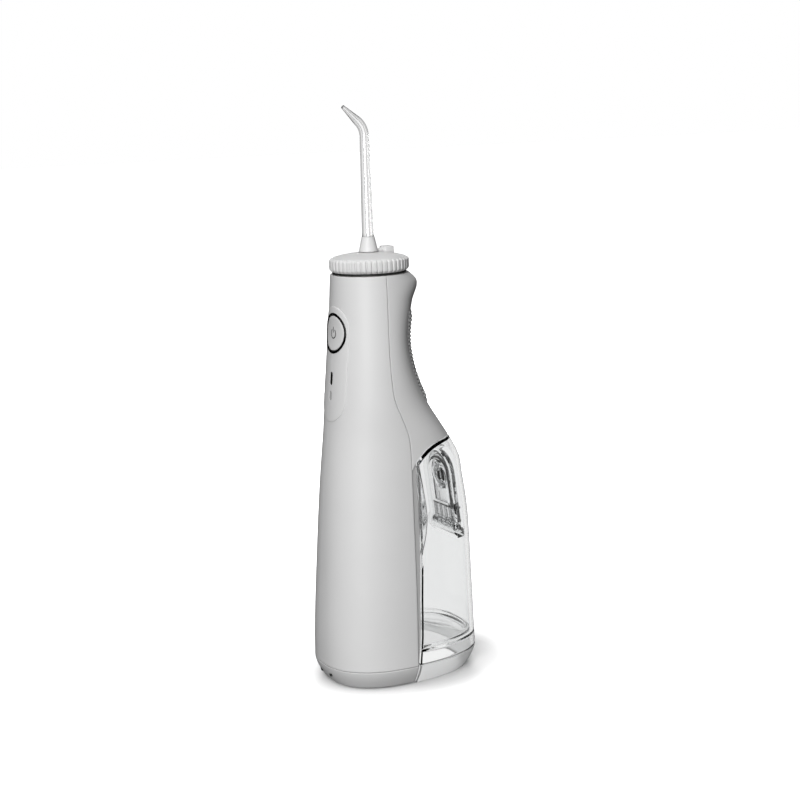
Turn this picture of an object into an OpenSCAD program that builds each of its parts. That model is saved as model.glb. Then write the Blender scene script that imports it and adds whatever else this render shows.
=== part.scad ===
// Cordless water flosser: handle body with pump and battery, turning tip knob,
// removable clear water tank with a hinged fill door.
// Frame: +Z up, the button side faces -Y, the tank side faces +Y, X = 0 is the middle plane.

/* [Body] */
// Height of the handle body, up to the knob
body_h = 212.5; // [210:0.5:215]
// Height of the seam between the base and the shells
base_h = 10.7; // [10:0.1:12]
// Radius of the round neck under the knob
neck_r = 20; // [19.5:0.1:20.5]
// Half width of the body at the base seam
foot_half_w = 32.35; // [32:0.05:33]
// How far the underside is drawn in from the base seam
base_taper = 5; // [4:0.1:6]
// Wall thickness of the shells and the tank
wall = 2; // [1.8:0.1:2.2]
// Distance of the knob axis in front of the middle of the footprint
axis_front = 7.1; // [6.8:0.1:7.4]

/* [Controls] */
// Height of the power button's centre
button_z = 183.5; // [182:0.5:185]
// Outer radius of the button's trim ring
ring_r = 10.2; // [9.8:0.1:10.4]
// Radial width of the trim ring
ring_w = 1; // [0.8:0.1:1.2]
// Travel of the power button
button_travel = 0.8; // [0.4:0.1:0.9]
// Half width of the raised control panel
panel_half_w = 11.6; // [11.4:0.1:12]
// Lowest point of the control panel
panel_low = 138.5; // [137:0.5:140]
// Highest point of the control panel
panel_high = 197; // [196:0.5:199]

/* [Knob and tip] */
// Outer radius of the toothed knob
knob_r = 20.3; // [20:0.1:20.6]
// Number of grip teeth round the knob
knob_teeth = 45; // [30:1:60]
// Height of the knob's toothed rim
rim_h = 6.8; // [6:0.1:7.5]
// Height of the tip above the knob, to where it bends
tip_straight = 50; // [45:1:55]
// Angle of the bent nozzle
bend_angle = 48; // [40:1:55]
// Length of the straight nozzle after the bend
nozzle_l = 11.3; // [10:0.1:12]

/* [Tank] */
// Height of the tank's floor, where the shell meets the base piece
floor_z = 19.3; // [18.5:0.1:20]
// Half width of the fill door
door_half_w = 11; // [10:0.1:11.5]
// Length of the fill door from its hinge to its round top
door_l = 40.8; // [38:0.1:42]
// Lean of the fill door towards the handle
door_lean = 6.7; // [5:0.1:8]

/* [Pump] */
// Teeth on the crank gear
gear_teeth = 40; // [36:4:40]
// Teeth on the motor pinion
pinion_teeth = 12; // [12:1:12]
// Gear module
gear_module = 0.8; // [0.75:0.05:0.8]
// Throw of the crank, half of the piston's stroke
crank_throw = 3; // [2:0.5:3]
// Radius of the pump bore
pump_r = 7.05; // [7.05:0.05:7.2]

/* [Hidden] */

// Colours
shell_grey = [0.80, 0.80, 0.80];
trim_grey = [0.88, 0.88, 0.88];
dark = [0.10, 0.10, 0.11];
rubber_grey = [0.55, 0.55, 0.55];
clear = [0.90, 0.94, 0.96, 0.35];
steel = [0.70, 0.70, 0.72];

axis_y = -axis_front;
far = 80;             // longer than half of any side of the body
running = 0.05;       // radial clearance of a running fit
gap = 0.3;            // free space between pieces that move apart
seam = 0.2;           // open seam between fixed shells
round_fn = 64;

// Side outlines, as [height, distance] from the base seam up. Between the points the
// outline is a smooth cubic curve.
front_outline = [
    [10.7, -43.1], [24, -42.9], [65, -40.3], [105, -37.1], [144, -32.7], [184, -28.9],
    [212.5, -27.1]
];
rear_outline = [
    [10.7, 43.4], [47, 42.1], [86, 40.7], [105, 38.2], [114, 37], [122.5, 33], [133, 26.6],
    [145, 19.5], [161, 12.9], [174.5, 10.2], [182, 10.4], [197.5, 14.1], [207.6, 17.8],
    [212.5, 12.9]
];
// Where the section is widest
centre_line = [
    [10.7, -1.3], [60, -1.2], [114, -1.1], [122, -1.3], [130, -2.2], [142, -5.6],
    [150, -7.1], [212.5, -7.1]
];
rear_squareness = [[10.7, 2.6], [60, 2.8], [115, 2.8], [150, 2.2], [212.5, 2]];
// Rear edge of the front shell on the sides, and front edge of the tank behind it
front_edge = [[0, -4.1], [10.7, -3.9], [46, -2.7], [98, -1.6], [113, -1.2]];
tank_edge = [[0, -3.8], [10.7, -3.1], [24, -1.5], [45, -0.4], [66, 0.9], [98, 1.5], [118, 1.6]];
// Upper seam between the front shell and the hood
hood_seam = [
    [113, -1.2], [125, -1.3], [131, -1.9], [142, -5.6], [148, -8], [152, -8.8],
    [212.5, -8.3]
];
// Lower edge of the hood in side view, as [distance, height]
arch = [[-4, 110.5], [-1.2, 113.3], [2, 117.8], [7.4, 122.6], [13, 125.2], [20, 126.4], [50, 126.6]];
// Rear bulge of the body, which the tank wraps round
bulge_outline = [[52, 0], [58, 4], [65, 8.8], [74, 12.4], [85, 13.7], [99, 11.6], [113, 8.7], [122, 7]];
bulge_half_w = 21;

// Smooth curve through a list of [position, value] points
function rise(p, i) = (p[i + 1][1] - p[i][1]) / (p[i + 1][0] - p[i][0]);
function slope(p, i) =
    i == 0 ? rise(p, 0)
    : i == len(p) - 1 ? rise(p, i - 1)
    : (rise(p, i - 1) + rise(p, i)) / 2;
function span_of(p, s, i = 0) = i >= len(p) - 2 || s < p[i + 1][0] ? i : span_of(p, s, i + 1);
function curve(p, s) =
    let (i = span_of(p, s), h = p[i + 1][0] - p[i][0], t = (s - p[i][0]) / h)
    (2 * t * t * t - 3 * t * t + 1) * p[i][1]
    + (t * t * t - 2 * t * t + t) * h * slope(p, i)
    + (3 * t * t - 2 * t * t * t) * p[i + 1][1]
    + (t * t * t - t * t) * h * slope(p, i + 1);

// Horizontal section of the body at height z, drawn in by d all round.
// Below the base seam the section tapers in towards the underside.
function half_w(z) =
    let (t = (body_h - z) / (body_h - base_h))
    neck_r + (foot_half_w - neck_r) * t + 5.2 * t * (1 - t);
function taper(z) = z >= base_h ? 0 : base_taper * pow(1 - z / base_h, 1.5);
function signed_pow(v, e) = sign(v) * pow(abs(v), e);
function section_point(angle, zs, d) =
    let (
        mid = curve(centre_line, zs),
        back = sin(angle) >= 0,
        reach = back ? curve(rear_outline, zs) - mid : mid - curve(front_outline, zs),
        n = back ? curve(rear_squareness, zs) : 2 + 0.4 * (body_h - zs) / (body_h - base_h)
    )
    [
        (half_w(zs) - d) * signed_pow(cos(angle), 2 / n),
        mid + (reach - d) * signed_pow(sin(angle), 2 / n)
    ];
section_steps = 44;
function section(z, d) =
    [
        for (i = [0 : section_steps - 1])
            let (p = section_point(360 * i / section_steps, max(z, base_h), d + taper(z)))
            [p[0], p[1], z]
    ];

// Heights at which sections are taken, closer together towards the neck
body_steps = 20;
body_heights = concat(
    [base_h],
    [for (i = [1 : body_steps - 1]) body_h - (body_h - base_h) * pow(1 - i / body_steps, 1.35)],
    [body_h]
);
void_heights = concat([base_h - 1], body_heights, [body_h + 1]);
function heights_between(low, high) =
    concat([low], [for (z = body_heights) if (z > low + 0.8 && z < high - 0.8) z], [high]);
base_heights = [0, 2, 4.5, 7.5, base_h];

// Convex solid round a list of points
module wrap(points) hull() polyhedron(points, [[for (i = [0 : len(points) - 1]) i]]);
// Solid through the body's sections at the given heights, drawn in by d
module body_solid(heights, d)
    for (i = [0 : len(heights) - 2])
        wrap(concat(section(heights[i], d), section(heights[i + 1], d)));
// Side view outline, [distance, height] points, pushed through the whole width
module side_profile(points) rotate([90, 0, 90]) linear_extrude(2 * far, center = true) polygon(points);

// Edge lines as point lists for side profiles, upwards or downwards
edge_steps = 11;
function edge_points(p, from, to, shift = 0) =
    [for (i = [0 : edge_steps]) let (z = from + (to - from) * i / edge_steps) [curve(p, z) + shift, z]];
arch_points = [for (i = [0 : 14]) let (y = -4 + 54 * pow(i / 14, 1.6)) [y, curve(arch, y)]];
function arch_above(lift) = [for (p = arch_points) [p[0], p[1] + lift]];

// Rear bulge, grown by g, as a stack of half-round sections from a height upwards
function bulge_section(z, g) =
    let (depth = max(curve(bulge_outline, z), 0) + g)
    [
        for (i = [0 : 16])
            let (a = 180 * i / 16)
            [(bulge_half_w + g) * signed_pow(cos(a), 0.8), -2 + (depth + 2) * signed_pow(sin(a), 0.8), z]
    ];
module bulge(g) {
    heights = [52 - g, 58, 65, 74, 85, 99, 113, 124 + g];
    for (i = [0 : len(heights) - 2])
        wrap(concat(bulge_section(heights[i], g), bulge_section(heights[i + 1], g)));
}

// Stadium on the front, pushed inwards from the button side
module front_stadium(half_width, low, high, depth = far)
    translate([0, -far / 2, 0]) rotate([90, 0, 0]) linear_extrude(depth, center = true)
        hull() {
            translate([0, low + half_width]) circle(half_width, $fn = 40);
            translate([0, high - half_width]) circle(half_width, $fn = 40);
        }
// Cylinder along the power button's axis, which is square to the sloping front
button_lean = 3.5;
module button_axis_cylinder(r, $fn = 48)
    translate([0, curve(front_outline, button_z), button_z]) rotate([90 - button_lean, 0, 0])
        cylinder(h = 16, r = r, center = true);

screw_r = 1.5;
screw_heights = [36, 100];
boss_r = 3.4;
function screw_x(z) = half_w(z) - wall - boss_r + 0.5;
module at_screws()
    for (z = screw_heights, side = [-1, 1])
        translate([side * screw_x(z), curve(tank_edge, z), z]) rotate([90, 0, 0]) children();

port_z = 12.6;
port_r = 2;

module front_shell() color(shell_grey) difference() {
    union() {
        difference() {
            intersection() {
                body_solid(body_heights, 0);
                side_profile(concat(
                    [[-far, 0]], edge_points(front_edge, 0, 112),
                    edge_points(hood_seam, 114, body_h + 1), [[-far, body_h + 1]]
                ));
            }
            body_solid(void_heights, wall);
        }
        intersection() {
            body_solid(body_heights, wall / 2);
            at_screws() translate([0, 0, 6]) cylinder(h = 9, r = boss_r, $fn = 24);
        }
    }
    at_screws() cylinder(h = 13, r = screw_r, $fn = 24);
    button_axis_cylinder(ring_r + seam);
    intersection() {
        front_stadium(panel_half_w + 0.1, panel_low - 0.1, panel_high + 0.1);
        difference() {
            body_solid(heights_between(120, 205), -1);
            body_solid(heights_between(118, 207), 0.7);
        }
    }
    led_slots(seam / 2);
}

led_half_w = 1;
module led_slots(g) {
    front_stadium(led_half_w + g, 157.1 - g, 163.9 + g);
    front_stadium(led_half_w + g, 149.3 - g, 154.1 + g);
}

module control_panel() color(shell_grey) difference() {
    intersection() {
        front_stadium(panel_half_w, panel_low, panel_high);
        difference() {
            body_solid(heights_between(120, 205), -0.3);
            body_solid(heights_between(118, 207), 0.6);
        }
    }
    button_axis_cylinder(ring_r + seam);
    led_slots(seam / 2);
}

module button_ring() color(dark) difference() {
    intersection() {
        difference() {
            button_axis_cylinder(ring_r);
            button_axis_cylinder(ring_r - ring_w);
        }
        body_solid(heights_between(160, 205), -0.8);
    }
    body_solid(heights_between(158, 207), wall);
}

module power_button() color(shell_grey) difference() {
    intersection() {
        button_axis_cylinder(ring_r - ring_w - gap);
        body_solid(heights_between(160, 205), -0.5);
    }
    body_solid(heights_between(158, 207), wall + 0.2);
}

module led_window(low, high) color(dark) intersection() {
    front_stadium(led_half_w, low, high);
    difference() {
        body_solid(heights_between(140, 172), -0.35);
        body_solid(heights_between(138, 174), wall);
    }
}
module led_window_upper() led_window(157.1, 163.9);
module led_window_lower() led_window(149.3, 154.1);

module rear_shell() color(shell_grey) difference() {
    union() {
        intersection() {
            body_solid(body_heights, 0);
            side_profile(concat(
                [for (p = arch_above(0)) if (p[0] > -1) p], [[far, 126.6], [far, body_h + 1]],
                edge_points(hood_seam, body_h + 1, 114, seam)
            ));
        }
        // Spine wall between the body and the tank. Its ends show as a narrow band.
        intersection() {
            body_solid(body_heights, 0.7);
            side_profile(concat(
                edge_points(front_edge, 0, 112, seam), [[-0.9, 119], [1.3, 119]],
                edge_points(tank_edge, 116, 0, -gap)
            ));
        }
        intersection() {
            body_solid(body_heights, wall + 0.15);
            side_profile(concat(
                edge_points(tank_edge, 0, 119, -3.2),
                edge_points(tank_edge, 119, 0, -gap)
            ));
        }
        intersection() {
            body_solid(body_heights, wall + 0.15);
            bulge(0);
        }
    }
    intersection() {
        body_solid(void_heights, wall);
        side_profile(concat(
            [[-far, 100], [-4, 100]], arch_above(wall),
            [[far, 128.6], [far, body_h + 2], [-far, body_h + 2]]
        ));
    }
    intersection() {
        body_solid(body_heights, wall);
        bulge(-wall);
    }
    at_screws() translate([0, 0, -1]) cylinder(h = 9, r = screw_r + 0.2, $fn = 24);
    at_screws() translate([0, 0, -5]) cylinder(h = 7, r = 2.8, $fn = 24);
    translate([0, 0, port_z]) rotate([90, 0, 0]) cylinder(h = 20, r = port_r + 0.2, center = true, $fn = 32);
}

contact_x = 5;
contact_z = 6.2;
module base_cap() color(shell_grey) difference() {
    intersection() {
        body_solid(base_heights, 0);
        side_profile(concat(
            [[-far, 0.8]], edge_points(front_edge, 0.8, base_h - seam), [[-far, base_h - seam]]
        ));
    }
    intersection() {
        body_solid(base_heights, wall);
        side_profile(concat(
            [[-far, 0.8 + wall]], edge_points(front_edge, 0.8 + wall, base_h, -wall), [[-far, base_h]]
        ));
    }
    for (side = [-1, 1])
        translate([side * contact_x, -40, contact_z]) rotate([90, 0, 0])
            cylinder(h = 12, r = 1.6, center = true, $fn = 24);
}

module charge_contacts() color(steel)
    for (side = [-1, 1])
        translate([side * contact_x, -36.5, contact_z]) rotate([90, 0, 0]) {
            cylinder(h = 5, r = 1.5);
            translate([0, 0, -1]) cylinder(h = 1, r = 2.2);
        }

module rubber_feet() color(rubber_grey)
    for (p = [[-15, -14], [15, -14], [0, -32]])
        translate([p[0], p[1], 0]) cylinder(h = 0.8, r = 4);

grip_low = 145;
grip_high = 193;
grip_half_w = 16;
rib_pitch = 2;
module grip_pad() color(rubber_grey) intersection() {
    translate([0, far / 2, 0]) rotate([90, 0, 0]) linear_extrude(far, center = true)
        translate([-grip_half_w, grip_low]) square([2 * grip_half_w, grip_high - grip_low]);
    difference() {
        union() {
            body_solid(heights_between(140, 198), -0.35);
            for (z = [grip_low + 1 : rib_pitch : grip_high - 1])
                wrap(concat(section(z - 0.45, -1), section(z + 0.45, -1)));
        }
        body_solid(heights_between(130, 205), -0.02);
    }
}

// Electronics
pcb_y = -22.5;
module main_pcb() color("darkgreen") translate([-9.5, pcb_y - 0.8, 142]) cube([19, 1.6, 55]);
module tact_switch() color(dark) {
    translate([-3, pcb_y - 2.3, button_z - 3]) cube([6, 1.5, 6]);
    translate([0, pcb_y - 2.3, button_z]) rotate([90, 0, 0]) cylinder(h = 0.8, r = 1.7);
}
battery_y = -3.5;
battery_low = 124;
battery_l = 49;
module battery_cell() color("steelblue") translate([0, battery_y, battery_low]) {
    cylinder(h = battery_l, r = 9);
    translate([0, 0, battery_l]) cylinder(h = 1, r = 3);
}
module battery_cradle() color(trim_grey) translate([0, battery_y, battery_low + 4]) difference() {
    cylinder(h = battery_l - 8, r = 10.6);
    translate([0, 0, -1]) cylinder(h = battery_l, r = 9.1);
    translate([-15, -15, -1]) cube([30, 15, battery_l]);
    for (z = [6, 23]) translate([-15, 2, z]) cube([30, 20, 12]);
}

// Neck: bearing plate for the knob, and the fixed spout under the tip
stem_r = 9;
neck_plate_h = 4;
module neck_plate() color(trim_grey) translate([0, axis_y, 0]) difference() {
    union() {
        translate([0, 0, body_h - neck_plate_h - 0.2]) cylinder(h = neck_plate_h, r = neck_r - wall - 0.1);
        for (side = [-1, 1]) translate([side * 12.5, 0, 195]) cylinder(h = 14, r = 1.8);
    }
    translate([0, 0, body_h - 8]) cylinder(h = 10, r = stem_r + running);
}
module neck_seal() color(dark) translate([0, axis_y, body_h + 0.02]) difference() {
    cylinder(h = 0.6, r = knob_r - 1.4);
    translate([0, 0, -1]) cylinder(h = 3, r = 14);
}
module spout() color(trim_grey) translate([0, axis_y, 193]) difference() {
    union() {
        cylinder(h = 9.5, r = 4);
        translate([-14.3, -3, 0]) cube([28.6, 6, 2]);
    }
    translate([0, 0, -1]) cylinder(h = 12, r = 1.5);
}

// Knob and tip
knob_z = body_h + 1;
rim_top = knob_z + rim_h;
tooth_step = 360 / knob_teeth;
function knob_tooth(i) =
    [for (p = [[0.16, -0.75], [0.3, 0], [0.7, 0], [0.84, -0.75]])
        let (a = (i + p[0]) * tooth_step) [(knob_r + p[1]) * cos(a), (knob_r + p[1]) * sin(a)]];
module knob() color(trim_grey) translate([0, axis_y, 0]) difference() {
    union() {
        intersection() {
            translate([0, 0, knob_z]) linear_extrude(rim_h)
                polygon([for (i = [0 : knob_teeth - 1]) each knob_tooth(i)]);
            translate([0, 0, knob_z]) rotate_extrude($fn = round_fn) polygon([
                [0, 0], [knob_r - 1.2, 0], [knob_r + 0.1, 1.3], [knob_r + 0.1, rim_h - 0.9],
                [knob_r - 0.8, rim_h], [0, rim_h]
            ]);
        }
        translate([0, 0, body_h - 6.5]) cylinder(h = 7.6, r = stem_r);
    }
    translate([0, 0, body_h - 8]) cylinder(h = 20, r = 5);
    translate([0, 0, knob_z + 1.5]) difference() {
        cylinder(h = rim_h, r = knob_r - 3);
        cylinder(h = rim_h, r = 7);
    }
}

eject_back = 10.6;     // distance of the release button behind the knob axis
eject_w = 6;
eject_d = 5.5;
eject_travel = 1.2;
cap_top = rim_top + 2.7;
module knob_cap() color(trim_grey) translate([0, axis_y, 0]) difference() {
    rotate_extrude($fn = round_fn) polygon([
        [5.2, rim_top], [knob_r - 1.2, rim_top], [knob_r - 1.6, rim_top + 0.4], [15, rim_top + 1.6],
        [11, rim_top + 2.2], [7, rim_top + 2.6], [5.2, cap_top]
    ]);
    translate([-eject_w / 2 - gap, eject_back - eject_d / 2 - gap, rim_top - 1])
        cube([eject_w + 2 * gap, eject_d + 2 * gap, 6]);
}
module eject_button() color(trim_grey)
    translate([-eject_w / 2, axis_y + eject_back - eject_d / 2, rim_top - 1.3])
        cube([eject_w, eject_d, 6.4]);

// Tube swept through points, with an outer and an inner radius at each point.
// across is any direction that the route never runs along.
function unit(v) = v / norm(v);
function route_direction(p, i) =
    i == 0 ? unit(p[1] - p[0])
    : i == len(p) - 1 ? unit(p[i] - p[i - 1])
    : unit(unit(p[i] - p[i - 1]) + unit(p[i + 1] - p[i]));
function tube_ring(p, i, r, sides, across) =
    let (d = route_direction(p, i), u = unit(cross(d, across)), v = cross(d, u))
    [for (j = [0 : sides - 1]) let (a = 360 * j / sides) p[i] + r * (u * cos(a) + v * sin(a))];
module swept_tube(p, outer, bore, sides, across) {
    last = len(p) - 1;
    rings = 2 * len(p);
    polyhedron(
        concat(
            [for (i = [0 : last]) each tube_ring(p, i, outer[i], sides, across)],
            [for (i = [last : -1 : 0]) each tube_ring(p, i, bore[i], sides, across)]
        ),
        [
            for (i = [0 : rings - 1], j = [0 : sides - 1])
                let (a = i * sides, b = ((i + 1) % rings) * sides, k = (j + 1) % sides)
                [a + j, a + k, b + k, b + j]
        ]
    );
}

// Coil spring along Z
function coil_point(r, pitch, s) = [r * cos(360 * s), r * sin(360 * s), pitch * s];
module coil(r, wire, height, turns) {
    steps = 12;
    sides = 6;
    n = turns * steps;
    pitch = (height - 2 * wire) / turns;
    points = [
        for (i = [0 : n], j = [0 : sides - 1])
            let (s = i / steps, c = coil_point(r, pitch, s), b = 360 * j / sides)
            [
                c[0] + wire * cos(b) * cos(360 * s), c[1] + wire * cos(b) * sin(360 * s),
                c[2] + wire * sin(b) + wire
            ]
    ];
    sides_faces = [
        for (i = [0 : n - 1], j = [0 : sides - 1])
            let (k = (j + 1) % sides)
            [i * sides + j, (i + 1) * sides + j, (i + 1) * sides + k, i * sides + k]
    ];
    polyhedron(points, concat(
        sides_faces, [[for (j = [0 : sides - 1]) j]], [[for (j = [sides - 1 : -1 : 0]) n * sides + j]]
    ));
}
eject_spring_low = knob_z + 1.5;
module eject_spring() color(steel)
    translate([0, axis_y + eject_back, eject_spring_low])
        coil(r = 2, wire = 0.3, height = rim_top - 1.3 - eject_spring_low - 0.02, turns = 3);

shank_r = 3;
holder_low = 198;
module tip_holder() color(trim_grey) translate([0, axis_y, 0]) difference() {
    translate([0, 0, holder_low]) cylinder(h = cap_top - 0.6 - holder_low, r = 4.98);
    translate([0, 0, holder_low - 1]) cylinder(h = 6, r = 4 + running);
    translate([0, 0, holder_low]) cylinder(h = 12, r = 1.5);
    translate([0, 0, 204.8]) cylinder(h = 30, r = shank_r + running);
}
module tip_latch() color(steel) translate([0, axis_y, knob_z + 3]) difference() {
    cylinder(h = 1.2, r = 8.2);
    translate([0, 0, -1]) cylinder(h = 4, r = 7.1);
}
collar_h = 7.5;
collar_z = cap_top + 0.2;
module tip_collar() color(trim_grey) translate([0, axis_y, 0]) rotate_extrude($fn = round_fn) polygon([
    [1.2, 205], [shank_r - 0.2, 205], [shank_r, 205.4], [shank_r, 207.5], [2.2, 207.5],
    [2.2, 208.5], [shank_r, 208.5], [shank_r, collar_z], [4.95, collar_z], [4.75, collar_z + 1.2],
    [3.35, collar_z + collar_h], [2, collar_z + collar_h], [2, collar_z + 3], [1.2, collar_z + 3]
]);
module tip_o_ring() color(dark) translate([0, axis_y, 208]) rotate_extrude($fn = round_fn)
    translate([2.62, 0]) circle(0.4, $fn = 24);
tube_low = collar_z + collar_h;
bend_r = 10;
bend_z = tube_low + tip_straight;
bend_steps = 6;
function bend_point(angle) = [0, axis_y - bend_r * (1 - cos(angle)), bend_z + bend_r * sin(angle)];
tip_route = concat(
    [for (z = [collar_z + 3.1, tube_low, tube_low + 0.02]) [0, axis_y, z]],
    [for (i = [0 : bend_steps]) bend_point(bend_angle * i / bend_steps)],
    [bend_point(bend_angle) + nozzle_l * [0, -sin(bend_angle), cos(bend_angle)]]
);
tip_outer = concat([1.95, 1.95, 3.1], [for (i = [0 : bend_steps]) 2.3], [0.87]);
tip_bore = concat([1, 1, 1], [for (i = [0 : bend_steps]) 0.95], [0.4]);
module tip_tube() color(clear) swept_tube(tip_route, tip_outer, tip_bore, 24, [1, 0, 0]);

// Motor, gears and pump. The motor and crank axes run along X, the piston along Z.
drive_y = -21.2;
crank_z = 48;
gear_r = gear_teeth * gear_module / 2;
pinion_r = pinion_teeth * gear_module / 2;
motor_z = crank_z - gear_r - pinion_r - 0.1;
motor_r = 11.5;
motor_back = -19;
motor_front = 3;
gear_low = 4;
gear_w = 4;
module along_x(x, y, z) translate([x, y, z]) rotate([90, 0, 90]) children();

function gear_point(teeth, r, i, part) = let (a = (i + part) * 360 / teeth) [r * cos(a), r * sin(a)];
module spur(teeth, turn) rotate([0, 0, turn]) linear_extrude(gear_w) polygon([
    for (i = [0 : teeth - 1])
        let (r = teeth * gear_module / 2, tip = r + 0.8 * gear_module, root = r - 1.2 * gear_module)
        each [
            gear_point(teeth, root, i, -0.27), gear_point(teeth, tip, i, -0.11),
            gear_point(teeth, tip, i, 0.11), gear_point(teeth, root, i, 0.27)
        ]
]);

module motor_can() color(steel) along_x(motor_back, drive_y, motor_z)
    rotate_extrude($fn = round_fn) polygon([
        [motor_r - 1, 0], [motor_r, 0], [motor_r, motor_front - motor_back - 1],
        [motor_r - 1, motor_front - motor_back], [1.05, motor_front - motor_back],
        [1.05, motor_front - motor_back - 2], [motor_r - 1, motor_front - motor_back - 2]
    ]);
module motor_end_bell() color(dark) along_x(motor_back, drive_y, motor_z)
    rotate_extrude($fn = round_fn) polygon([
        [1.05, -1], [motor_r - 2, -1], [motor_r - 1.1, 0], [motor_r - 1.1, 2], [1.05, 2]
    ]);
module armature() color(steel) along_x(motor_back - 1.5, drive_y, motor_z) {
    cylinder(h = motor_front - motor_back + 7, r = 1);
    translate([0, 0, 6]) cylinder(h = 13, r = 8);
}
module pinion() color("goldenrod") along_x(gear_low, drive_y, motor_z) difference() {
    spur(pinion_teeth, 90 + 180 / pinion_teeth);
    translate([0, 0, -1]) cylinder(h = gear_w + 2, r = 1);
}
axle_r = 1.5;
module crank_gear() color(trim_grey) {
    along_x(gear_low, drive_y, crank_z) spur(gear_teeth, 90);
    along_x(gear_low + gear_w, drive_y, crank_z) cylinder(h = 9, r = axle_r);
    along_x(-1.9, drive_y, crank_z - crank_throw) cylinder(h = gear_low + 1.9, r = axle_r);
}
rod_l = 26;
rod_t = 3;
module connecting_rod() color(trim_grey) difference() {
    union() {
        along_x(-rod_t / 2, drive_y, crank_z - crank_throw) cylinder(h = rod_t, r = 4);
        along_x(-rod_t / 2, drive_y, crank_z - crank_throw + rod_l) cylinder(h = rod_t, r = 2.2);
        translate([-rod_t / 2, drive_y - 1.5, crank_z - crank_throw + 2])
            cube([rod_t, 3, rod_l - 2]);
    }
    along_x(-rod_t, drive_y, crank_z - crank_throw) cylinder(h = 2 * rod_t, r = axle_r + running);
    along_x(-rod_t, drive_y, crank_z - crank_throw + rod_l) cylinder(h = 2 * rod_t, r = 1);
}
module wrist_pin() color(steel)
    along_x(-3.4, drive_y, crank_z - crank_throw + rod_l) cylinder(h = 6.8, r = 1);
crown_z = crank_z - crank_throw + rod_l + 2.2 + 2 * crank_throw + 0.8;
piston_r = pump_r - 0.45;
module piston() color(trim_grey) translate([0, drive_y, 0]) rotate_extrude($fn = round_fn) polygon([
    [5.6, crown_z - 12], [piston_r, crown_z - 12], [piston_r, crown_z + 0.8],
    [piston_r - 0.8, crown_z + 0.8], [piston_r - 0.8, crown_z + 2.2], [piston_r, crown_z + 2.2],
    [piston_r, crown_z + 3], [0, crown_z + 3], [0, crown_z], [5.6, crown_z]
]);
module piston_seal() color(dark) translate([0, drive_y, crown_z + 0.85]) difference() {
    cylinder(h = 1.3, r = pump_r - running);
    translate([0, 0, -1]) cylinder(h = 4, r = piston_r - 0.75);
}
cylinder_low = 67.2;
cylinder_top = crown_z + 3 + 2 * crank_throw + 4;
module pump_cylinder() color(trim_grey) translate([0, drive_y, 0]) difference() {
    union() {
        translate([0, 0, cylinder_low]) cylinder(h = cylinder_top - cylinder_low, r = pump_r + 1.6);
        translate([0, 0, cylinder_low]) cylinder(h = 2, r = 11);
    }
    translate([0, 0, cylinder_low - 1]) cylinder(h = 60, r = pump_r);
}
valve_seat = cylinder_top + 9;
valve_top = cylinder_top + 18;
module valve_block() color(shell_grey) translate([0, drive_y, 0]) difference() {
    union() {
        translate([0, 0, cylinder_top]) cylinder(h = valve_top - cylinder_top, r = pump_r + 1.6);
        translate([0, 0, cylinder_top + 4]) rotate([-90, 0, 0]) cylinder(h = 11, r = 2.6);
    }
    translate([0, 0, cylinder_top - 1]) cylinder(h = 30, r = 1.5);
    translate([0, 0, valve_seat]) cylinder(h = 7.5, r = 3.6);
    translate([0, 0, cylinder_top + 4]) rotate([-90, 0, 0]) cylinder(h = 13, r = 1.2);
}
module outlet_poppet() color(dark) translate([0, drive_y, valve_seat + 0.02]) {
    cylinder(h = 1.2, r = 3.2);
    cylinder(h = 3, r = 1);
}
module outlet_spring() color(steel) translate([0, drive_y, valve_seat + 1.25])
    coil(r = 2.3, wire = 0.25, height = 6.2, turns = 4);

// Route with its corners cut, so that the tube bends in three steps
function eased(p, cut) = [
    p[0],
    for (i = [1 : len(p) - 2])
        let (a = unit(p[i - 1] - p[i]), b = unit(p[i + 1] - p[i]))
        each [p[i] + cut * a, p[i] + 0.3 * cut * (a + b), p[i] + cut * b],
    p[len(p) - 1]
];
module water_tube(p) swept_tube(p, [for (q = p) 1.8], [for (q = p) 1.1], 10, [1, 1, 0]);
inlet_route = [
    [0, -9, port_z], [0, -11, port_z], [-13, -7.4, port_z + 6], [-13, -7.4, cylinder_top - 6],
    [0, -8.4, cylinder_top + 4], [0, drive_y + 11, cylinder_top + 4]
];
module inlet_tube() color(clear) water_tube(eased(inlet_route, 1));
outlet_route = [
    [0, drive_y, valve_top], [0, drive_y, valve_top + 3], [13, -14, 124], [13, -9, 180],
    [0, axis_y, 188.5], [0, axis_y, 193]
];
module outlet_tube() color(clear) water_tube(eased(outlet_route, 1.4));

module inlet_port() color(shell_grey) translate([0, -9, port_z]) rotate([-90, 0, 0]) difference() {
    union() {
        cylinder(h = 12.5, r = port_r);
        translate([0, 0, 0.5]) cylinder(h = 1.2, r = 3.4);
    }
    translate([0, 0, -1]) cylinder(h = 15, r = 1.2);
    translate([0, 0, 10.6]) difference() {
        cylinder(h = 0.9, r = port_r + 1);
        cylinder(h = 0.9, r = port_r - 0.4);
    }
}
module port_o_ring() color(dark) translate([0, 2.05, port_z]) rotate([90, 0, 0])
    rotate_extrude($fn = 48) translate([port_r - 0.02, 0]) circle(0.36, $fn = 24);

module shell_screws() color(steel) at_screws() {
    translate([0, 0, 0.6]) cylinder(h = 1.3, r = 2.6);
    translate([0, 0, 1.9]) cylinder(h = 9, r = screw_r - 0.03);
}

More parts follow.
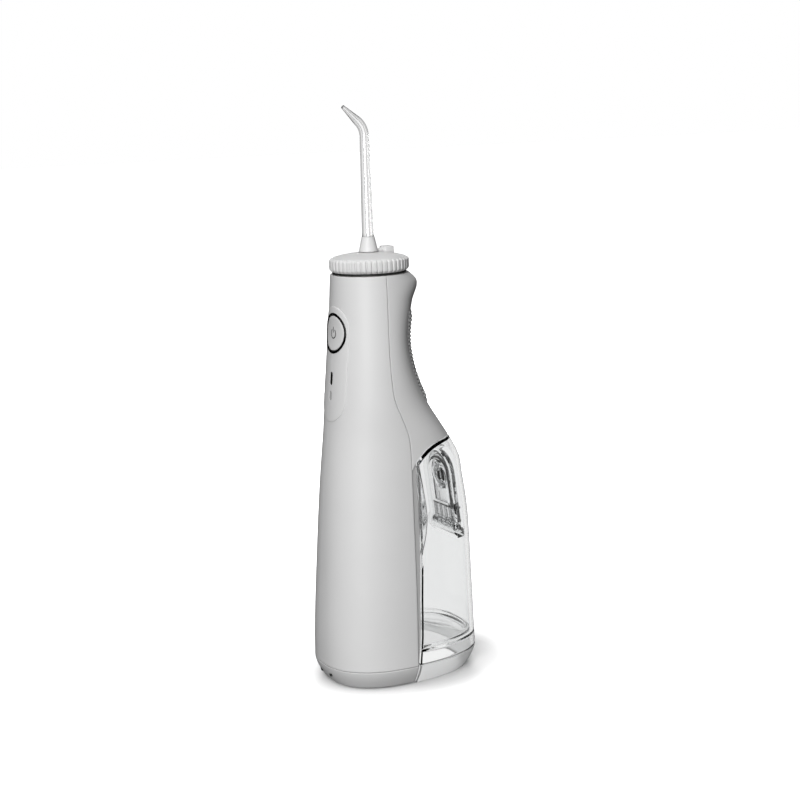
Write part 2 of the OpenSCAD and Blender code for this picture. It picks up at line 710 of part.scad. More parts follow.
// Bracket that holds the motor, the crank axle and the pump
bracket_x = 9.4;
module gearbox_frame() color(dark) difference() {
    union() {
        translate([bracket_x, -34, 16]) cube([2, 27, cylinder_low - 16]);
        along_x(bracket_x - 0.9, drive_y, crank_z) cylinder(h = 7.5, r = 4);
        translate([-11, -31, cylinder_low - 2]) cube([bracket_x + 13, 20, 2]);
        translate([motor_front, -30, 16]) cube([0.8, 17.6, 18]);
        for (y = [-29, -15.4]) translate([motor_front, y, 16]) cube([bracket_x - motor_front, 2, 2]);
    }
    along_x(bracket_x - 5, drive_y, crank_z) cylinder(h = 20, r = axle_r + running);
    along_x(0, drive_y, motor_z) cylinder(h = 8, r = 3);
    translate([0, drive_y, cylinder_low - 5]) cylinder(h = 10, r = 7.5);
}

// Tank
hinge_y = 34.9;
hinge_z = 73.9;
door_t = 2;
door_face = 0.3;          // inner face of the door, measured out from the hinge axis
pocket_floor = -0.5;      // floor of the recess that the door lies in
// Frame of the fill door: origin on the hinge, Y out of the tank, Z up along the door
module door_frame() translate([0, hinge_y, hinge_z]) rotate([door_lean, 0, 0]) children();
// Arched plate in the door's frame, between two distances from the hinge plane
module arched(half_width, bottom, top, from, to)
    translate([0, to, 0]) rotate([90, 0, 0]) linear_extrude(to - from) union() {
        translate([-half_width, bottom]) square([2 * half_width, top - half_width - bottom]);
        translate([0, top - half_width]) circle(half_width, $fn = 48);
    }
module knuckle(r, length) rotate([0, 90, 0]) cylinder(h = length, r = r, center = true, $fn = 32);
module door_recess(g) door_frame() {
    arched(door_half_w + 0.6 + g, -3 - g, door_l + 0.6 + g, pocket_floor - g, 40);
    knuckle(2.6 + g, 2 * (door_half_w + 0.5 + g));
}
tank_heights = heights_between(floor_z, 127.5);
module tank_side(low, inset, lift) side_profile(concat(
    edge_points(tank_edge, low, 116, inset),
    [for (p = arch_points) if (p[0] > 2.5) [p[0] + inset / 2, p[1] - lift]],
    [[far, 126.6 - lift], [far, low]]
));
module tank_shell() color(clear) difference() {
    intersection() {
        body_solid(tank_heights, 0);
        tank_side(floor_z, 0, 0.6);
    }
    bulge(0.6);
    difference() {
        intersection() {
            body_solid(concat([floor_z - 1], tank_heights), wall);
            tank_side(floor_z - 1, wall, 0.6 + wall);
        }
        bulge(0.6 + wall);
        door_recess(wall);
    }
    door_recess(0);
    door_frame() arched(8, 12, 36.5, -10, 10);
    door_frame() knuckle(1, 2 * door_half_w + 4);
}

module tank_base() color(clear) difference() {
    intersection() {
        body_solid(concat(base_heights, [floor_z - 0.1]), 0);
        side_profile(concat(
            edge_points(tank_edge, 0, floor_z - 0.1), [[far, floor_z - 0.1], [far, 0]]
        ));
    }
    intersection() {
        body_solid(concat([-1], base_heights, [floor_z]), wall);
        side_profile(concat(
            edge_points(tank_edge, 0, floor_z - wall - 0.1, wall),
            [[far, floor_z - wall - 0.1], [far, -1], [0, -1]]
        ));
    }
    translate([0, -6, port_z]) rotate([-90, 0, 0]) cylinder(h = 10, r = 3.85, $fn = 32);
    translate([0, outlet_y, port_z]) cylinder(h = 10, r = 3.85, $fn = 32);
}

// Fitting under the tank floor that leads the water to the body's inlet port
outlet_y = 9;
module tank_outlet() color(trim_grey) difference() {
    union() {
        translate([0, -2.4, port_z]) rotate([-90, 0, 0]) cylinder(h = outlet_y + 6.2, r = 3.8);
        translate([0, outlet_y, port_z]) cylinder(h = floor_z - 0.1 - port_z, r = 3.8);
    }
    translate([0, -3, port_z]) rotate([-90, 0, 0]) cylinder(h = 8, r = 2.4);
    translate([0, 4, port_z]) rotate([-90, 0, 0]) cylinder(h = outlet_y - 4, r = 1.5);
    translate([0, outlet_y, port_z]) cylinder(h = 10, r = 1.5);
    translate([0, outlet_y, port_z]) sphere(1.5);
}
module tank_check_valve() color(dark) translate([0, 3.9, port_z]) rotate([-90, 0, 0]) difference() {
    cylinder(h = 1, r = 2.38);
    translate([0, 0, -1]) cylinder(h = 3, r = 0.3);
}
module intake_filter() color(trim_grey) translate([0, outlet_y, floor_z - 0.1]) difference() {
    cylinder(h = 1.4, r = 4.6);
    translate([0, 0, -1]) cylinder(h = 1.6, r = 3.6);
    for (i = [-2 : 2]) translate([i * 1.4 - 0.4, -2.5, -1]) cube([0.8, 5, 5]);
}

module hinge_pins() color(steel) door_frame()
    for (side = [-1, 1]) translate([side * (door_half_w - 0.3), 0, 0]) knuckle(1, 4.4, $fn = 32);
module fill_door() color(clear) door_frame() difference() {
    union() {
        arched(door_half_w, 0, door_l, door_face, door_face + door_t);
        rotate([0, 90, 0]) cylinder(h = 2 * door_half_w, r = 2, center = true);
    }
    rotate([0, 90, 0]) cylinder(h = 4 * door_half_w, r = 1 + running, center = true);
}
module door_gasket() color(dark) door_frame() difference() {
    arched(9.6, 10.4, 38.1, door_face - 0.7, door_face - 0.02);
    arched(8.4, 11.6, 36.9, door_face - 2, door_face + 1);
}
vent_up = 27.2;
module door_vent_ring() color(clear) door_frame()
    translate([0, door_face + door_t, vent_up]) rotate([-90, 0, 0]) {
        difference() {
            cylinder(h = 1.1, r = 7.9);
            translate([0, 0, -1]) cylinder(h = 4, r = 5.6);
        }
        difference() {
            cylinder(h = 0.8, r = 3.6);
            translate([-0.8, -2.2, 0.3]) cube([1.6, 4.4, 2]);
        }
    }

front_shell();
rear_shell();
base_cap();
rubber_feet();
charge_contacts();
grip_pad();
control_panel();
button_ring();
power_button();
led_window_upper();
led_window_lower();
main_pcb();
tact_switch();
battery_cell();
battery_cradle();
neck_plate();
neck_seal();
spout();
motor_can();
motor_end_bell();
armature();
pinion();
gearbox_frame();
crank_gear();
connecting_rod();
wrist_pin();
piston();
piston_seal();
pump_cylinder();
valve_block();
outlet_poppet();
outlet_spring();
inlet_tube();
outlet_tube();
inlet_port();
port_o_ring();
shell_screws();
knob();
knob_cap();
tip_holder();
tip_latch();
eject_button();
eject_spring();
tip_collar();
tip_o_ring();
tip_tube();
tank_shell();
tank_base();
tank_outlet();
tank_check_valve();
intake_filter();
hinge_pins();
fill_door();
door_gasket();
door_vent_ring();
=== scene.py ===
"""Looks of the cordless water flosser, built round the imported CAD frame.

Lengths in the helpers are millimetres, as in the CAD source, and become metres in the meshes.
Frame: +Z up, the button side faces -Y, the tank side faces +Y.
"""

import math

import bmesh
import bpy
from mathutils import Matrix, Vector


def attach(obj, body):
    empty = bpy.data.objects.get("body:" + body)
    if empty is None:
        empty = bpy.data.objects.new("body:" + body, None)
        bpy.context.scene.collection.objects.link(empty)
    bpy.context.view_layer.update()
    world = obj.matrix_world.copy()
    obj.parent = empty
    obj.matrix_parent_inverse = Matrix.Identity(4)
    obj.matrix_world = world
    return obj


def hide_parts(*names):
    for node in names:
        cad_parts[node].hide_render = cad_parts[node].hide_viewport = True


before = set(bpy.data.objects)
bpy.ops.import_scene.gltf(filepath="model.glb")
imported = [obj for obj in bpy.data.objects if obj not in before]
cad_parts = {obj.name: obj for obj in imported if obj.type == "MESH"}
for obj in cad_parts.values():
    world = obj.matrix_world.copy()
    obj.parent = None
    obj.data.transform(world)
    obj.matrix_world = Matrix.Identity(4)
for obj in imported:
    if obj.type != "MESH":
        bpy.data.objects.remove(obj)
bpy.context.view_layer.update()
MM = 0.001

# ---------------------------------------------------------------- driving sizes (mm)
BODY_H = 212.5
BASE_H = 10.7
NECK_R = 20
FOOT_HALF_W = 32.35
BASE_TAPER = 5
SIDE_BOW = 5.2
FRONT_SQUARENESS = 0.4
WALL = 2
AXIS_Y = -7.1
FLOOR_Z = 19.3
BUTTON_Z = 183.5
BUTTON_LEAN = 3.5
BUTTON_HOLE_R = 10.35
LED_UPPER = (157.1, 163.9)
LED_LOWER = (149.3, 154.1)
PANEL_HALF_W = 11.6
PANEL_LOW = 138.5
PANEL_HIGH = 197
KNOB_R = 20.3
KNOB_TEETH = 45
KNOB_Z = 213.5
RIM_TOP = 220.3
CAP_TOP = 223.0
HINGE_Y = 34.9
HINGE_Z = 73.9
DOOR_LEAN = 6.7
DOOR_HALF_W = 11
DOOR_L = 40.8
DOOR_FACE = 0.3
VENT_UP = 27.2
GRIP_LOW = 145
GRIP_HIGH = 193
GRIP_HALF_W = 16

FRONT_OUTLINE = [
    (10.7, -43.1), (24, -42.9), (65, -40.3), (105, -37.1), (144, -32.7), (184, -28.9),
    (212.5, -27.1),
]
REAR_OUTLINE = [
    (10.7, 43.4), (47, 42.1), (86, 40.7), (105, 38.2), (114, 37), (122.5, 33), (133, 26.6),
    (145, 19.5), (161, 12.9), (174.5, 10.2), (182, 10.4), (197.5, 14.1), (207.6, 17.8),
    (212.5, 12.9),
]
CENTRE_LINE = [
    (10.7, -1.3), (60, -1.2), (114, -1.1), (122, -1.3), (130, -2.2), (142, -5.6),
    (150, -7.1), (212.5, -7.1),
]
REAR_SQUARENESS = [(10.7, 2.6), (60, 2.8), (115, 2.8), (150, 2.2), (212.5, 2)]
FRONT_EDGE = [(0, -4.1), (10.7, -3.9), (46, -2.7), (98, -1.6), (113, -1.2)]
TANK_EDGE = [(0, -3.8), (10.7, -3.1), (24, -1.5), (45, -0.4), (66, 0.9), (98, 1.5), (118, 1.6)]
HOOD_SEAM = [
    (113, -1.2), (125, -1.3), (131, -1.9), (142, -5.6), (148, -8), (152, -8.8),
    (212.5, -8.3),
]
ARCH = [(-4, 110.5), (-1.2, 113.3), (2, 117.8), (7.4, 122.6), (13, 125.2), (20, 126.4), (50, 126.6)]
BULGE = [(52, 0), (58, 4), (65, 8.8), (74, 12.4), (85, 13.7), (99, 11.6), (113, 8.7), (122, 7)]
BULGE_HALF_W = 21


# ---------------------------------------------------------------- outline mathematics
def curve(points, s):
    """Smooth curve through (position, value) points, as in the CAD source."""
    last = len(points) - 2
    i = next((k for k in range(last) if s < points[k + 1][0]), last)

    def rise(k):
        return (points[k + 1][1] - points[k][1]) / (points[k + 1][0] - points[k][0])

    def slope(k):
        if k == 0:
            return rise(0)
        if k == len(points) - 1:
            return rise(k - 1)
        return (rise(k - 1) + rise(k)) / 2

    h = points[i + 1][0] - points[i][0]
    t = (s - points[i][0]) / h
    return (
        (2 * t**3 - 3 * t**2 + 1) * points[i][1]
        + (t**3 - 2 * t**2 + t) * h * slope(i)
        + (3 * t**2 - 2 * t**3) * points[i + 1][1]
        + (t**3 - t**2) * h * slope(i + 1)
    )


def half_w(z):
    """Half width of the body at height z, with slightly bowed sides."""
    t = (BODY_H - z) / (BODY_H - BASE_H)
    return NECK_R + (FOOT_HALF_W - NECK_R) * t + SIDE_BOW * t * (1 - t)


def taper(z):
    """How far the foot draws in at height z."""
    return 0 if z >= BASE_H else BASE_TAPER * (1 - z / BASE_H) ** 1.5


def power(value, exponent):
    return math.copysign(abs(value) ** exponent, value)


def section_shape(z, inset, back):
    """Half width, middle, reach and exponent of one half of the section at height z."""
    zs = min(max(z, BASE_H), BODY_H)
    d = inset + taper(z)
    mid = curve(CENTRE_LINE, zs)
    if back:
        return half_w(zs) - d, mid, curve(REAR_OUTLINE, zs) - mid - d, curve(REAR_SQUARENESS, zs)
    squareness = 2 + FRONT_SQUARENESS * (BODY_H - zs) / (BODY_H - BASE_H)
    return half_w(zs) - d, mid, mid - curve(FRONT_OUTLINE, zs) - d, squareness


def section_point(z, inset, angle):
    """Point of the section. Angle 0 is +X and 90 degrees is the rear."""
    back = math.sin(angle) >= 0
    width, mid, reach, n = section_shape(z, inset, back)
    return (
        width * power(math.cos(angle), 2 / n),
        mid + reach * power(math.sin(angle), 2 / n),
    )


def angle_at_y(z, inset, y):
    """Angle, between -90 and 90 degrees, at which the section passes the depth y."""
    _, mid, _, _ = section_shape(z, inset, True)
    _, mid, reach, n = section_shape(z, inset, y >= mid)
    share = max(-1.0, min(1.0, (y - mid) / reach))
    return math.asin(power(share, n / 2))


def solve(function, low, high, steps=40):
    """Where a rising function passes zero."""
    for _ in range(steps):
        middle = (low + high) / 2
        if function(middle) < 0:
            low = middle
        else:
            high = middle
    return (low + high) / 2


def arch_y(z):
    """Depth at which the lower edge of the hood reaches height z."""
    return solve(lambda y: curve(ARCH, y) - z, -4, 49)


def bulge_y(x, z, grow):
    """Rear face of the body's bulge at (x, z), or a low value outside it."""
    wide = BULGE_HALF_W + grow
    depth = max(curve(BULGE, min(z, 122)), 0) + grow
    if z < BULGE[0][0] - grow or abs(x) >= wide:
        return -99
    c = abs(x / wide) ** 1.25
    return -2 + (depth + 2) * (1 - c * c) ** 0.4


def front_y(x, z):
    """Depth of the body's front surface at (x, z)."""
    width, mid, reach, n = section_shape(z, 0, False)
    return mid - reach * max(0.0, 1 - abs(x / width) ** n) ** (1 / n)


def rear_y(x, z):
    width, mid, reach, n = section_shape(z, 0, True)
    return mid + reach * max(0.0, 1 - abs(x / width) ** n) ** (1 / n)


def on_surface(depth, sign, x, z, lift):
    """Point over the front or rear surface, raised along the surface's normal."""
    e = 0.05
    dx = (depth(x + e, z) - depth(x - e, z)) / (2 * e)
    dz = (depth(x, z + e) - depth(x, z - e)) / (2 * e)
    normal = Vector((-dx, 1, -dz)) * sign
    return Vector((x, depth(x, z), z)) + normal.normalized() * lift


def on_front(x, z, lift):
    return on_surface(front_y, -1, x, z, lift)


def on_rear(x, z, lift):
    return on_surface(rear_y, 1, x, z, lift)


# ---------------------------------------------------------------- mesh helpers
def mesh_object(name, points, faces):
    mesh = bpy.data.meshes.new(name)
    mesh.from_pydata([tuple(c * MM for c in p) for p in points], [], faces)
    obj = bpy.data.objects.new(name, mesh)
    bpy.context.scene.collection.objects.link(obj)
    bm = bmesh.new()
    bm.from_mesh(mesh)
    bmesh.ops.remove_doubles(bm, verts=bm.verts, dist=1e-7)
    bmesh.ops.dissolve_degenerate(bm, edges=bm.edges, dist=1e-7)
    bmesh.ops.recalc_face_normals(bm, faces=bm.faces)
    bm.to_mesh(mesh)
    bm.free()
    return obj


def grid_faces(rows, columns, wrap=False, start=0):
    last = columns if wrap else columns - 1
    return [
        (
            start + i * columns + j,
            start + i * columns + (j + 1) % columns,
            start + (i + 1) * columns + (j + 1) % columns,
            start + (i + 1) * columns + j,
        )
        for i in range(rows - 1)
        for j in range(last)
    ]


def loft(name, rings, close_ring=False):
    """Closed solid through rings of equal length, capped at both ends unless the rings close up."""
    n = len(rings[0])
    points = [p for ring in rings for p in ring]
    faces = grid_faces(len(rings), n, wrap=True)
    if close_ring:
        end = (len(rings) - 1) * n
        faces += [(end + j, end + (j + 1) % n, (j + 1) % n, j) for j in range(n)]
    else:
        faces.append(tuple(range(n))[::-1])
        faces.append(tuple((len(rings) - 1) * n + j for j in range(n)))
    return mesh_object(name, points, faces)


def lathe(name, profile, steps=96, radius_at=None, closed=False):
    """Solid of revolution about Z from (r, z) points; radius_at(r, angle) may shape it."""
    rings = []
    for r, z in profile:
        ring = []
        for j in range(steps):
            a = 2 * math.pi * j / steps
            rr = radius_at(r, a) if radius_at else r
            ring.append((rr * math.cos(a), rr * math.sin(a), z))
        rings.append(ring)
    return loft(name, rings, close_ring=closed)


def round_profile(points, radius, steps=4):
    """A (r, z) outline with its inner corners rounded; the first and last points stay."""
    out = [points[0]]
    for a, b, c in zip(points, points[1:], points[2:]):
        corner, u, v = Vector(b), Vector(a) - Vector(b), Vector(c) - Vector(b)
        reach = min(radius, u.length * 0.45, v.length * 0.45)
        p, q = corner + u.normalized() * reach, corner + v.normalized() * reach
        for k in range(steps + 1):
            t = k / steps
            out.append(tuple(p * (1 - t) ** 2 + corner * 2 * t * (1 - t) + q * t * t))
    return out + [points[-1]]


def apply_all(obj):
    """Bakes the modifiers of obj into its mesh."""
    graph = bpy.context.evaluated_depsgraph_get()
    mesh = bpy.data.meshes.new_from_object(obj.evaluated_get(graph), depsgraph=graph)
    old = obj.data
    obj.modifiers.clear()
    obj.data = mesh
    mesh.name = obj.name
    bpy.data.meshes.remove(old)
    return obj


def thicken(obj, thickness):
    """Turns an outer skin into a wall of that thickness, in millimetres, inwards."""
    mod = obj.modifiers.new("wall", "SOLIDIFY")
    mod.thickness = thickness * MM
    mod.offset = -1
    mod.use_even_offset = False
    return apply_all(obj)


def bevel(obj, width, segments=3, angle=50):
    """Rounds the edges that are sharper than the angle."""
    mod = obj.modifiers.new("edges", "BEVEL")
    mod.width = width * MM
    mod.segments = segments
    mod.limit_method = "ANGLE"
    mod.angle_limit = math.radians(angle)
    return apply_all(obj)


def cut(obj, cutter, operation="DIFFERENCE"):
    """Exact boolean with another mesh object, which is then removed."""
    mod = obj.modifiers.new("cut", "BOOLEAN")
    mod.operation = operation
    mod.solver = "EXACT"
    mod.object = cutter
    apply_all(obj)
    bpy.data.objects.remove(cutter)
    return obj


def tidy(obj, merge=0.0005):
    """Welds the slivers that a boolean leaves."""
    bm = bmesh.new()
    bm.from_mesh(obj.data)
    bmesh.ops.remove_doubles(bm, verts=bm.verts, dist=merge * MM)
    bmesh.ops.dissolve_degenerate(bm, edges=bm.edges, dist=merge * MM)
    bm.to_mesh(obj.data)
    bm.free()
    return obj


def smooth(obj, angle=32):
    """Smooth shading with hard edges over the given angle."""
    obj.data.shade_smooth()
    bm = bmesh.new()
    bm.from_mesh(obj.data)
    limit = math.radians(angle)
    for edge in bm.edges:
        edge.smooth = len(edge.link_faces) == 2 and edge.calc_face_angle(0) < limit
    bm.to_mesh(obj.data)
    bm.free()
    return obj


def place(obj, material, body, stands_for=()):
    """Gives a finished piece its material and its body, and hides the CAD nodes it stands for."""
    obj.data.materials.clear()
    obj.data.materials.append(material)
    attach(obj, body)
    if stands_for:
        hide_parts(*stands_for)
    return obj


def transform(obj, matrix):
    obj.data.transform(matrix)
    obj.data.update()
    return obj


# ---------------------------------------------------------------- materials
def shader(name, color, rough, **sockets):
    """Material with a Principled shader; constants sit on its own sockets."""
    mat = bpy.data.materials.new(name)
    mat.use_nodes = True
    bsdf = mat.node_tree.nodes["Principled BSDF"]
    bsdf.inputs["Base Color"].default_value = (*color, 1)
    bsdf.inputs["Roughness"].default_value = rough
    for key, value in sockets.items():
        bsdf.inputs[key.replace("_", " ")].default_value = value
    return mat


def node(mat, kind, **settings):
    n = mat.node_tree.nodes.new(kind)
    for key, value in settings.items():
        setattr(n, key, value)
    return n


def noise(mat, scale, detail=3, stretch=(1, 1, 1)):
    """Noise over the object's own coordinates, at scale cycles per metre."""
    coord = node(mat, "ShaderNodeTexCoord")
    mapping = node(mat, "ShaderNodeMapping")
    mapping.inputs["Scale"].default_value = stretch
    tex = node(mat, "ShaderNodeTexNoise")
    tex.inputs["Scale"].default_value = scale
    tex.inputs["Detail"].default_value = detail
    link = mat.node_tree.links.new
    link(coord.outputs["Object"], mapping.inputs["Vector"])
    link(mapping.outputs["Vector"], tex.inputs["Vector"])
    return tex


def vary_rough(mat, scale, low, high, stretch=(1, 1, 1)):
    tex = noise(mat, scale, 4, stretch)
    span = node(mat, "ShaderNodeMapRange")
    span.inputs["From Min"].default_value = 0.3
    span.inputs["From Max"].default_value = 0.7
    span.inputs["To Min"].default_value = low
    span.inputs["To Max"].default_value = high
    link = mat.node_tree.links.new
    link(tex.outputs["Fac"], span.inputs["Value"])
    link(span.outputs["Result"], mat.node_tree.nodes["Principled BSDF"].inputs["Roughness"])


def vary_color(mat, scale, dark_color, light_color, stretch=(1, 1, 1)):
    tex = noise(mat, scale, 4, stretch)
    ramp = node(mat, "ShaderNodeValToRGB")
    ramp.color_ramp.elements[0].position = 0.3
    ramp.color_ramp.elements[1].position = 0.7
    ramp.color_ramp.elements[0].color = (*dark_color, 1)
    ramp.color_ramp.elements[1].color = (*light_color, 1)
    link = mat.node_tree.links.new
    link(tex.outputs["Fac"], ramp.inputs["Fac"])
    link(ramp.outputs["Color"], mat.node_tree.nodes["Principled BSDF"].inputs["Base Color"])


def grain(mat, scale, depth, stretch=(1, 1, 1)):
    """Fine surface relief, depth in millimetres."""
    tex = noise(mat, scale, 2, stretch)
    bump = node(mat, "ShaderNodeBump")
    bump.inputs["Strength"].default_value = 1
    bump.inputs["Distance"].default_value = depth * MM
    link = mat.node_tree.links.new
    link(tex.outputs["Fac"], bump.inputs["Height"])
    link(bump.outputs["Normal"], mat.node_tree.nodes["Principled BSDF"].inputs["Normal"])


def plastic(name, level, rough, relief=0.004, tint=(1, 1, 1)):
    """Moulded plastic: faint mottling, uneven gloss and a fine spark-eroded grain."""
    color = tuple(level * t for t in tint)
    mat = shader(name, color, rough, Specular_IOR_Level=0.3)
    vary_color(mat, 40, tuple(c * 0.985 for c in color), tuple(min(1, c * 1.01) for c in color))
    vary_rough(mat, 160, rough - 0.03, rough + 0.04)
    grain(mat, 3500, relief)
    return mat


def clear_plastic(name, rough, ior, tint, edge, start, span=0.4, wave=0.012):
    """Injection moulded clear plastic with faint flow waves; its base colour turns to the edge grey where it
    is seen edge on, a painted shade for the dark lines that refraction gives.
    """
    mat = shader(name, tint, rough, Transmission_Weight=1.0, IOR=ior)
    vary_rough(mat, 90, rough, rough + 0.02)
    # Painted shade: Layer Weight blends the base colour from the tint to a darker grey towards a grazing
    # view.
    weight = node(mat, "ShaderNodeLayerWeight")
    weight.inputs["Blend"].default_value = 0.5
    ramp = node(mat, "ShaderNodeValToRGB")
    ramp.color_ramp.elements[0].position = start
    ramp.color_ramp.elements[0].color = (*tint, 1)
    ramp.color_ramp.elements[1].position = min(1, start + span)
    ramp.color_ramp.elements[1].color = (edge, edge, edge, 1)
    link = mat.node_tree.links.new
    link(weight.outputs["Facing"], ramp.inputs["Fac"])
    link(ramp.outputs["Color"], mat.node_tree.nodes["Principled BSDF"].inputs["Base Color"])
    if wave:
        grain(mat, 55, wave, (1, 1, 0.25))
    return mat


def metal(name, level, rough, stretch):
    mat = shader(name, (level, level, level * 1.01), rough, Metallic=1.0)
    vary_color(mat, 300, (level * 0.86,) * 3, (level * 1.05,) * 3, stretch)
    vary_rough(mat, 500, rough - 0.06, rough + 0.1, stretch)
    grain(mat, 1800, 0.003, stretch)
    return mat


shell_mat = plastic("satin_grey_plastic", 0.60, 0.44)
panel_mat = plastic("panel_plastic", 0.62, 0.36)
knob_mat = plastic("knob_plastic", 0.62, 0.38)
# The spine's grey is darker than the casing's: painted shade for the dark band that shows beside the front
# casing.
spine_painted_shade_mat = plastic("spine_plastic_painted_shade", 0.40, 0.42)
grip_mat = plastic("grip_rubber", 0.30, 0.62, 0.012)
foot_mat = plastic("foot_rubber", 0.10, 0.7, 0.015)
seal_mat = plastic("seal_rubber", 0.02, 0.5, 0.008)
led_dark_mat = plastic("dark_window", 0.012, 0.16, 0.001)
led_pale_mat = plastic("pale_window", 0.40, 0.22, 0.001)
icon_mat = plastic("icon_ink", 0.05, 0.45, 0.002)
frame_mat = plastic("frame_plastic", 0.05, 0.45)
inner_mat = plastic("engineering_plastic", 0.70, 0.42, 0.006, (1, 0.99, 0.95))
# The edge grey given to each clear plastic below is painted shade for its dark refraction lines.
tank_mat = clear_plastic("clear_tank", 0.012, 1.22, (0.90, 0.905, 0.905), 0.7, 0.55)
base_clear_mat = clear_plastic("frosted_clear_base", 0.08, 1.4, (0.90, 0.905, 0.905), 0.55, 0.5)
foot_clear_mat = clear_plastic("frosted_foot", 0.30, 1.3, (0.66, 0.665, 0.665), 0.5, 0.45)
door_mat = clear_plastic("clear_door", 0.015, 1.5, (0.97, 0.975, 0.98), 0.22, 0.3)
tube_mat = clear_plastic("clear_tube", 0.01, 1.5, (0.99, 0.99, 0.99), 0.38, 0.05, 0.25, 0.0)
ring_mat = metal("dark_chrome", 0.016, 0.24, (1, 1, 1))
pin_mat = metal("dark_steel", 0.05, 0.3, (1, 1, 1))
steel_mat = metal("steel", 0.55, 0.28, (1, 1, 14))
brass_mat = metal("brass", 0.5, 0.3, (1, 1, 1))
brass_mat.node_tree.nodes["Color Ramp"].color_ramp.elements[0].color = (0.52, 0.36, 0.13, 1)
brass_mat.node_tree.nodes["Color Ramp"].color_ramp.elements[1].color = (0.70, 0.50, 0.20, 1)
battery_mat = plastic("battery_wrap", 0.3, 0.3, 0.002, (0.25, 0.5, 1.0))
board_mat = plastic("circuit_board", 0.12, 0.4, 0.006, (0.2, 1.0, 0.35))


# ---------------------------------------------------------------- camera first
CAMERA_LENS = 68.4
CAMERA_PLACE = (678.06, -374.28, 296.15)
CAMERA_HEADING = 60.566
CAMERA_PITCH = 11.03
CAMERA_ROLL = -1.929


def make_camera():
    """Camera at the main view, looking down a little; angles in degrees."""
    data = bpy.data.cameras.new("camera")
    data.lens = CAMERA_LENS
    data.sensor_width = 36
    data.clip_start, data.clip_end = 0.05, 20
    cam = bpy.data.objects.new("camera", data)
    bpy.context.scene.collection.objects.link(cam)
    heading = math.radians(CAMERA_HEADING)
    pitch = math.radians(CAMERA_PITCH)
    roll = math.radians(CAMERA_ROLL)
    forward = Vector((
        -math.sin(heading) * math.cos(pitch), math.cos(heading) * math.cos(pitch), -math.sin(pitch)
    ))
    right = forward.cross(Vector((0, 0, 1))).normalized()
    up = right.cross(forward)
    right, up = (
        right * math.cos(roll) + up * math.sin(roll),
        -right * math.sin(roll) + up * math.cos(roll),
    )
    matrix = Matrix((right, up, -forward)).transposed().to_4x4()
    matrix.translation = Vector(CAMERA_PLACE) * MM
    cam.matrix_world = matrix
    bpy.context.scene.camera = cam


make_camera()


# ---------------------------------------------------------------- body shells
def spread(low, high, count, ends=0.0):
    """Evenly spaced values; ends > 0 crowds them towards both ends."""
    out = []
    for i in range(count):
        t = i / (count - 1)
        eased = 0.5 - 0.5 * math.cos(math.pi * t)
        out.append(low + (high - low) * (t * (1 - ends) + eased * ends))
    return out


SEAM = 0.12


def side_seam(z):
    """Rear edge of the front casing at height z."""
    return curve(FRONT_EDGE, z) if z < 113 else curve(HOOD_SEAM, z)


def front_casing():
    rows = spread(BASE_H, BODY_H - 0.2, 260)
    columns = 150
    points = []
    for z in rows:
        a = angle_at_y(z, 0, side_seam(z) - SEAM)
        for j in range(columns):
            angle = a - (math.pi + 2 * a) * j / (columns - 1)
            points.append((*section_point(z, 0, angle), z))
    obj = mesh_object("front_casing", points, grid_faces(len(rows), columns))
    thicken(obj, WALL)
    bevel(obj, 0.35)
    cut(obj, button_cutter(BUTTON_HOLE_R))
    tidy(obj)
    return smooth(obj)


def button_frame():
    """Frame of the power button: origin on the front surface, Z out of the body."""
    lean = math.radians(90 - BUTTON_LEAN)
    spot = Vector((0, curve(FRONT_OUTLINE, BUTTON_Z), BUTTON_Z)) * MM
    return Matrix.Translation(spot) @ Matrix.Rotation(lean, 4, "X")


def button_cutter(r):
    obj = lathe("cutter", [(r, -6), (r, 6)], 128)
    return transform(obj, button_frame())


def hood():
    """Rear shell above the tank: from the side seams round the back, down to the arch."""
    columns, rows = 161, 200
    half = (columns - 1) // 2
    lower = []
    for j in range(half + 1):
        share = j / half
        share = share * 0.35 + 0.65 * share**1.6

        def over(z, share=share):
            a0 = angle_at_y(z, 0, side_seam(z) + SEAM)
            angle = a0 + (math.pi / 2 - a0) * share
            return z - curve(ARCH, section_point(z, 0, angle)[1])

        lower.append((share, solve(over, 113, 127.5)))
    grid = []
    for i in range(rows):
        v = i / (rows - 1)
        right_half = []
        for share, z0 in lower:
            z = z0 + (BODY_H - 0.2 - z0) * v
            a0 = angle_at_y(z, 0, side_seam(z) + SEAM)
            angle = a0 + (math.pi / 2 - a0) * share
            x, y = section_point(z, 0, angle)
            right_half.append((x, y, z))
        grid.append(right_half + [(-x, y, z) for x, y, z in right_half[-2::-1]])
    points = [p for row in grid for p in row]
    obj = mesh_object("rear_hood", points, grid_faces(rows, columns))
    thicken(obj, WALL)
    bevel(obj, 0.3)
    return smooth(obj)


def front_line(z, x, plate, grow):
    """Line of the wall between body and tank at height z, with the bulge in its middle."""
    return max(plate, bulge_y(x, z, grow))


def tank_ring(z, inset, plate, grow, arc=96, across=72):
    """Ring round the rear: the section from right to left, then back along the wall line."""
    a = angle_at_y(z, inset, plate)
    ring = []
    for j in range(arc):
        angle = a + (math.pi - 2 * a) * j / (arc - 1)
        ring.append((*section_point(z, inset, angle), z))
    x0 = ring[-1][0]
    for j in range(1, across):
        x = x0 - 2 * x0 * j / across
        ring.append((x, front_line(z, x, plate, grow), z))
    return ring


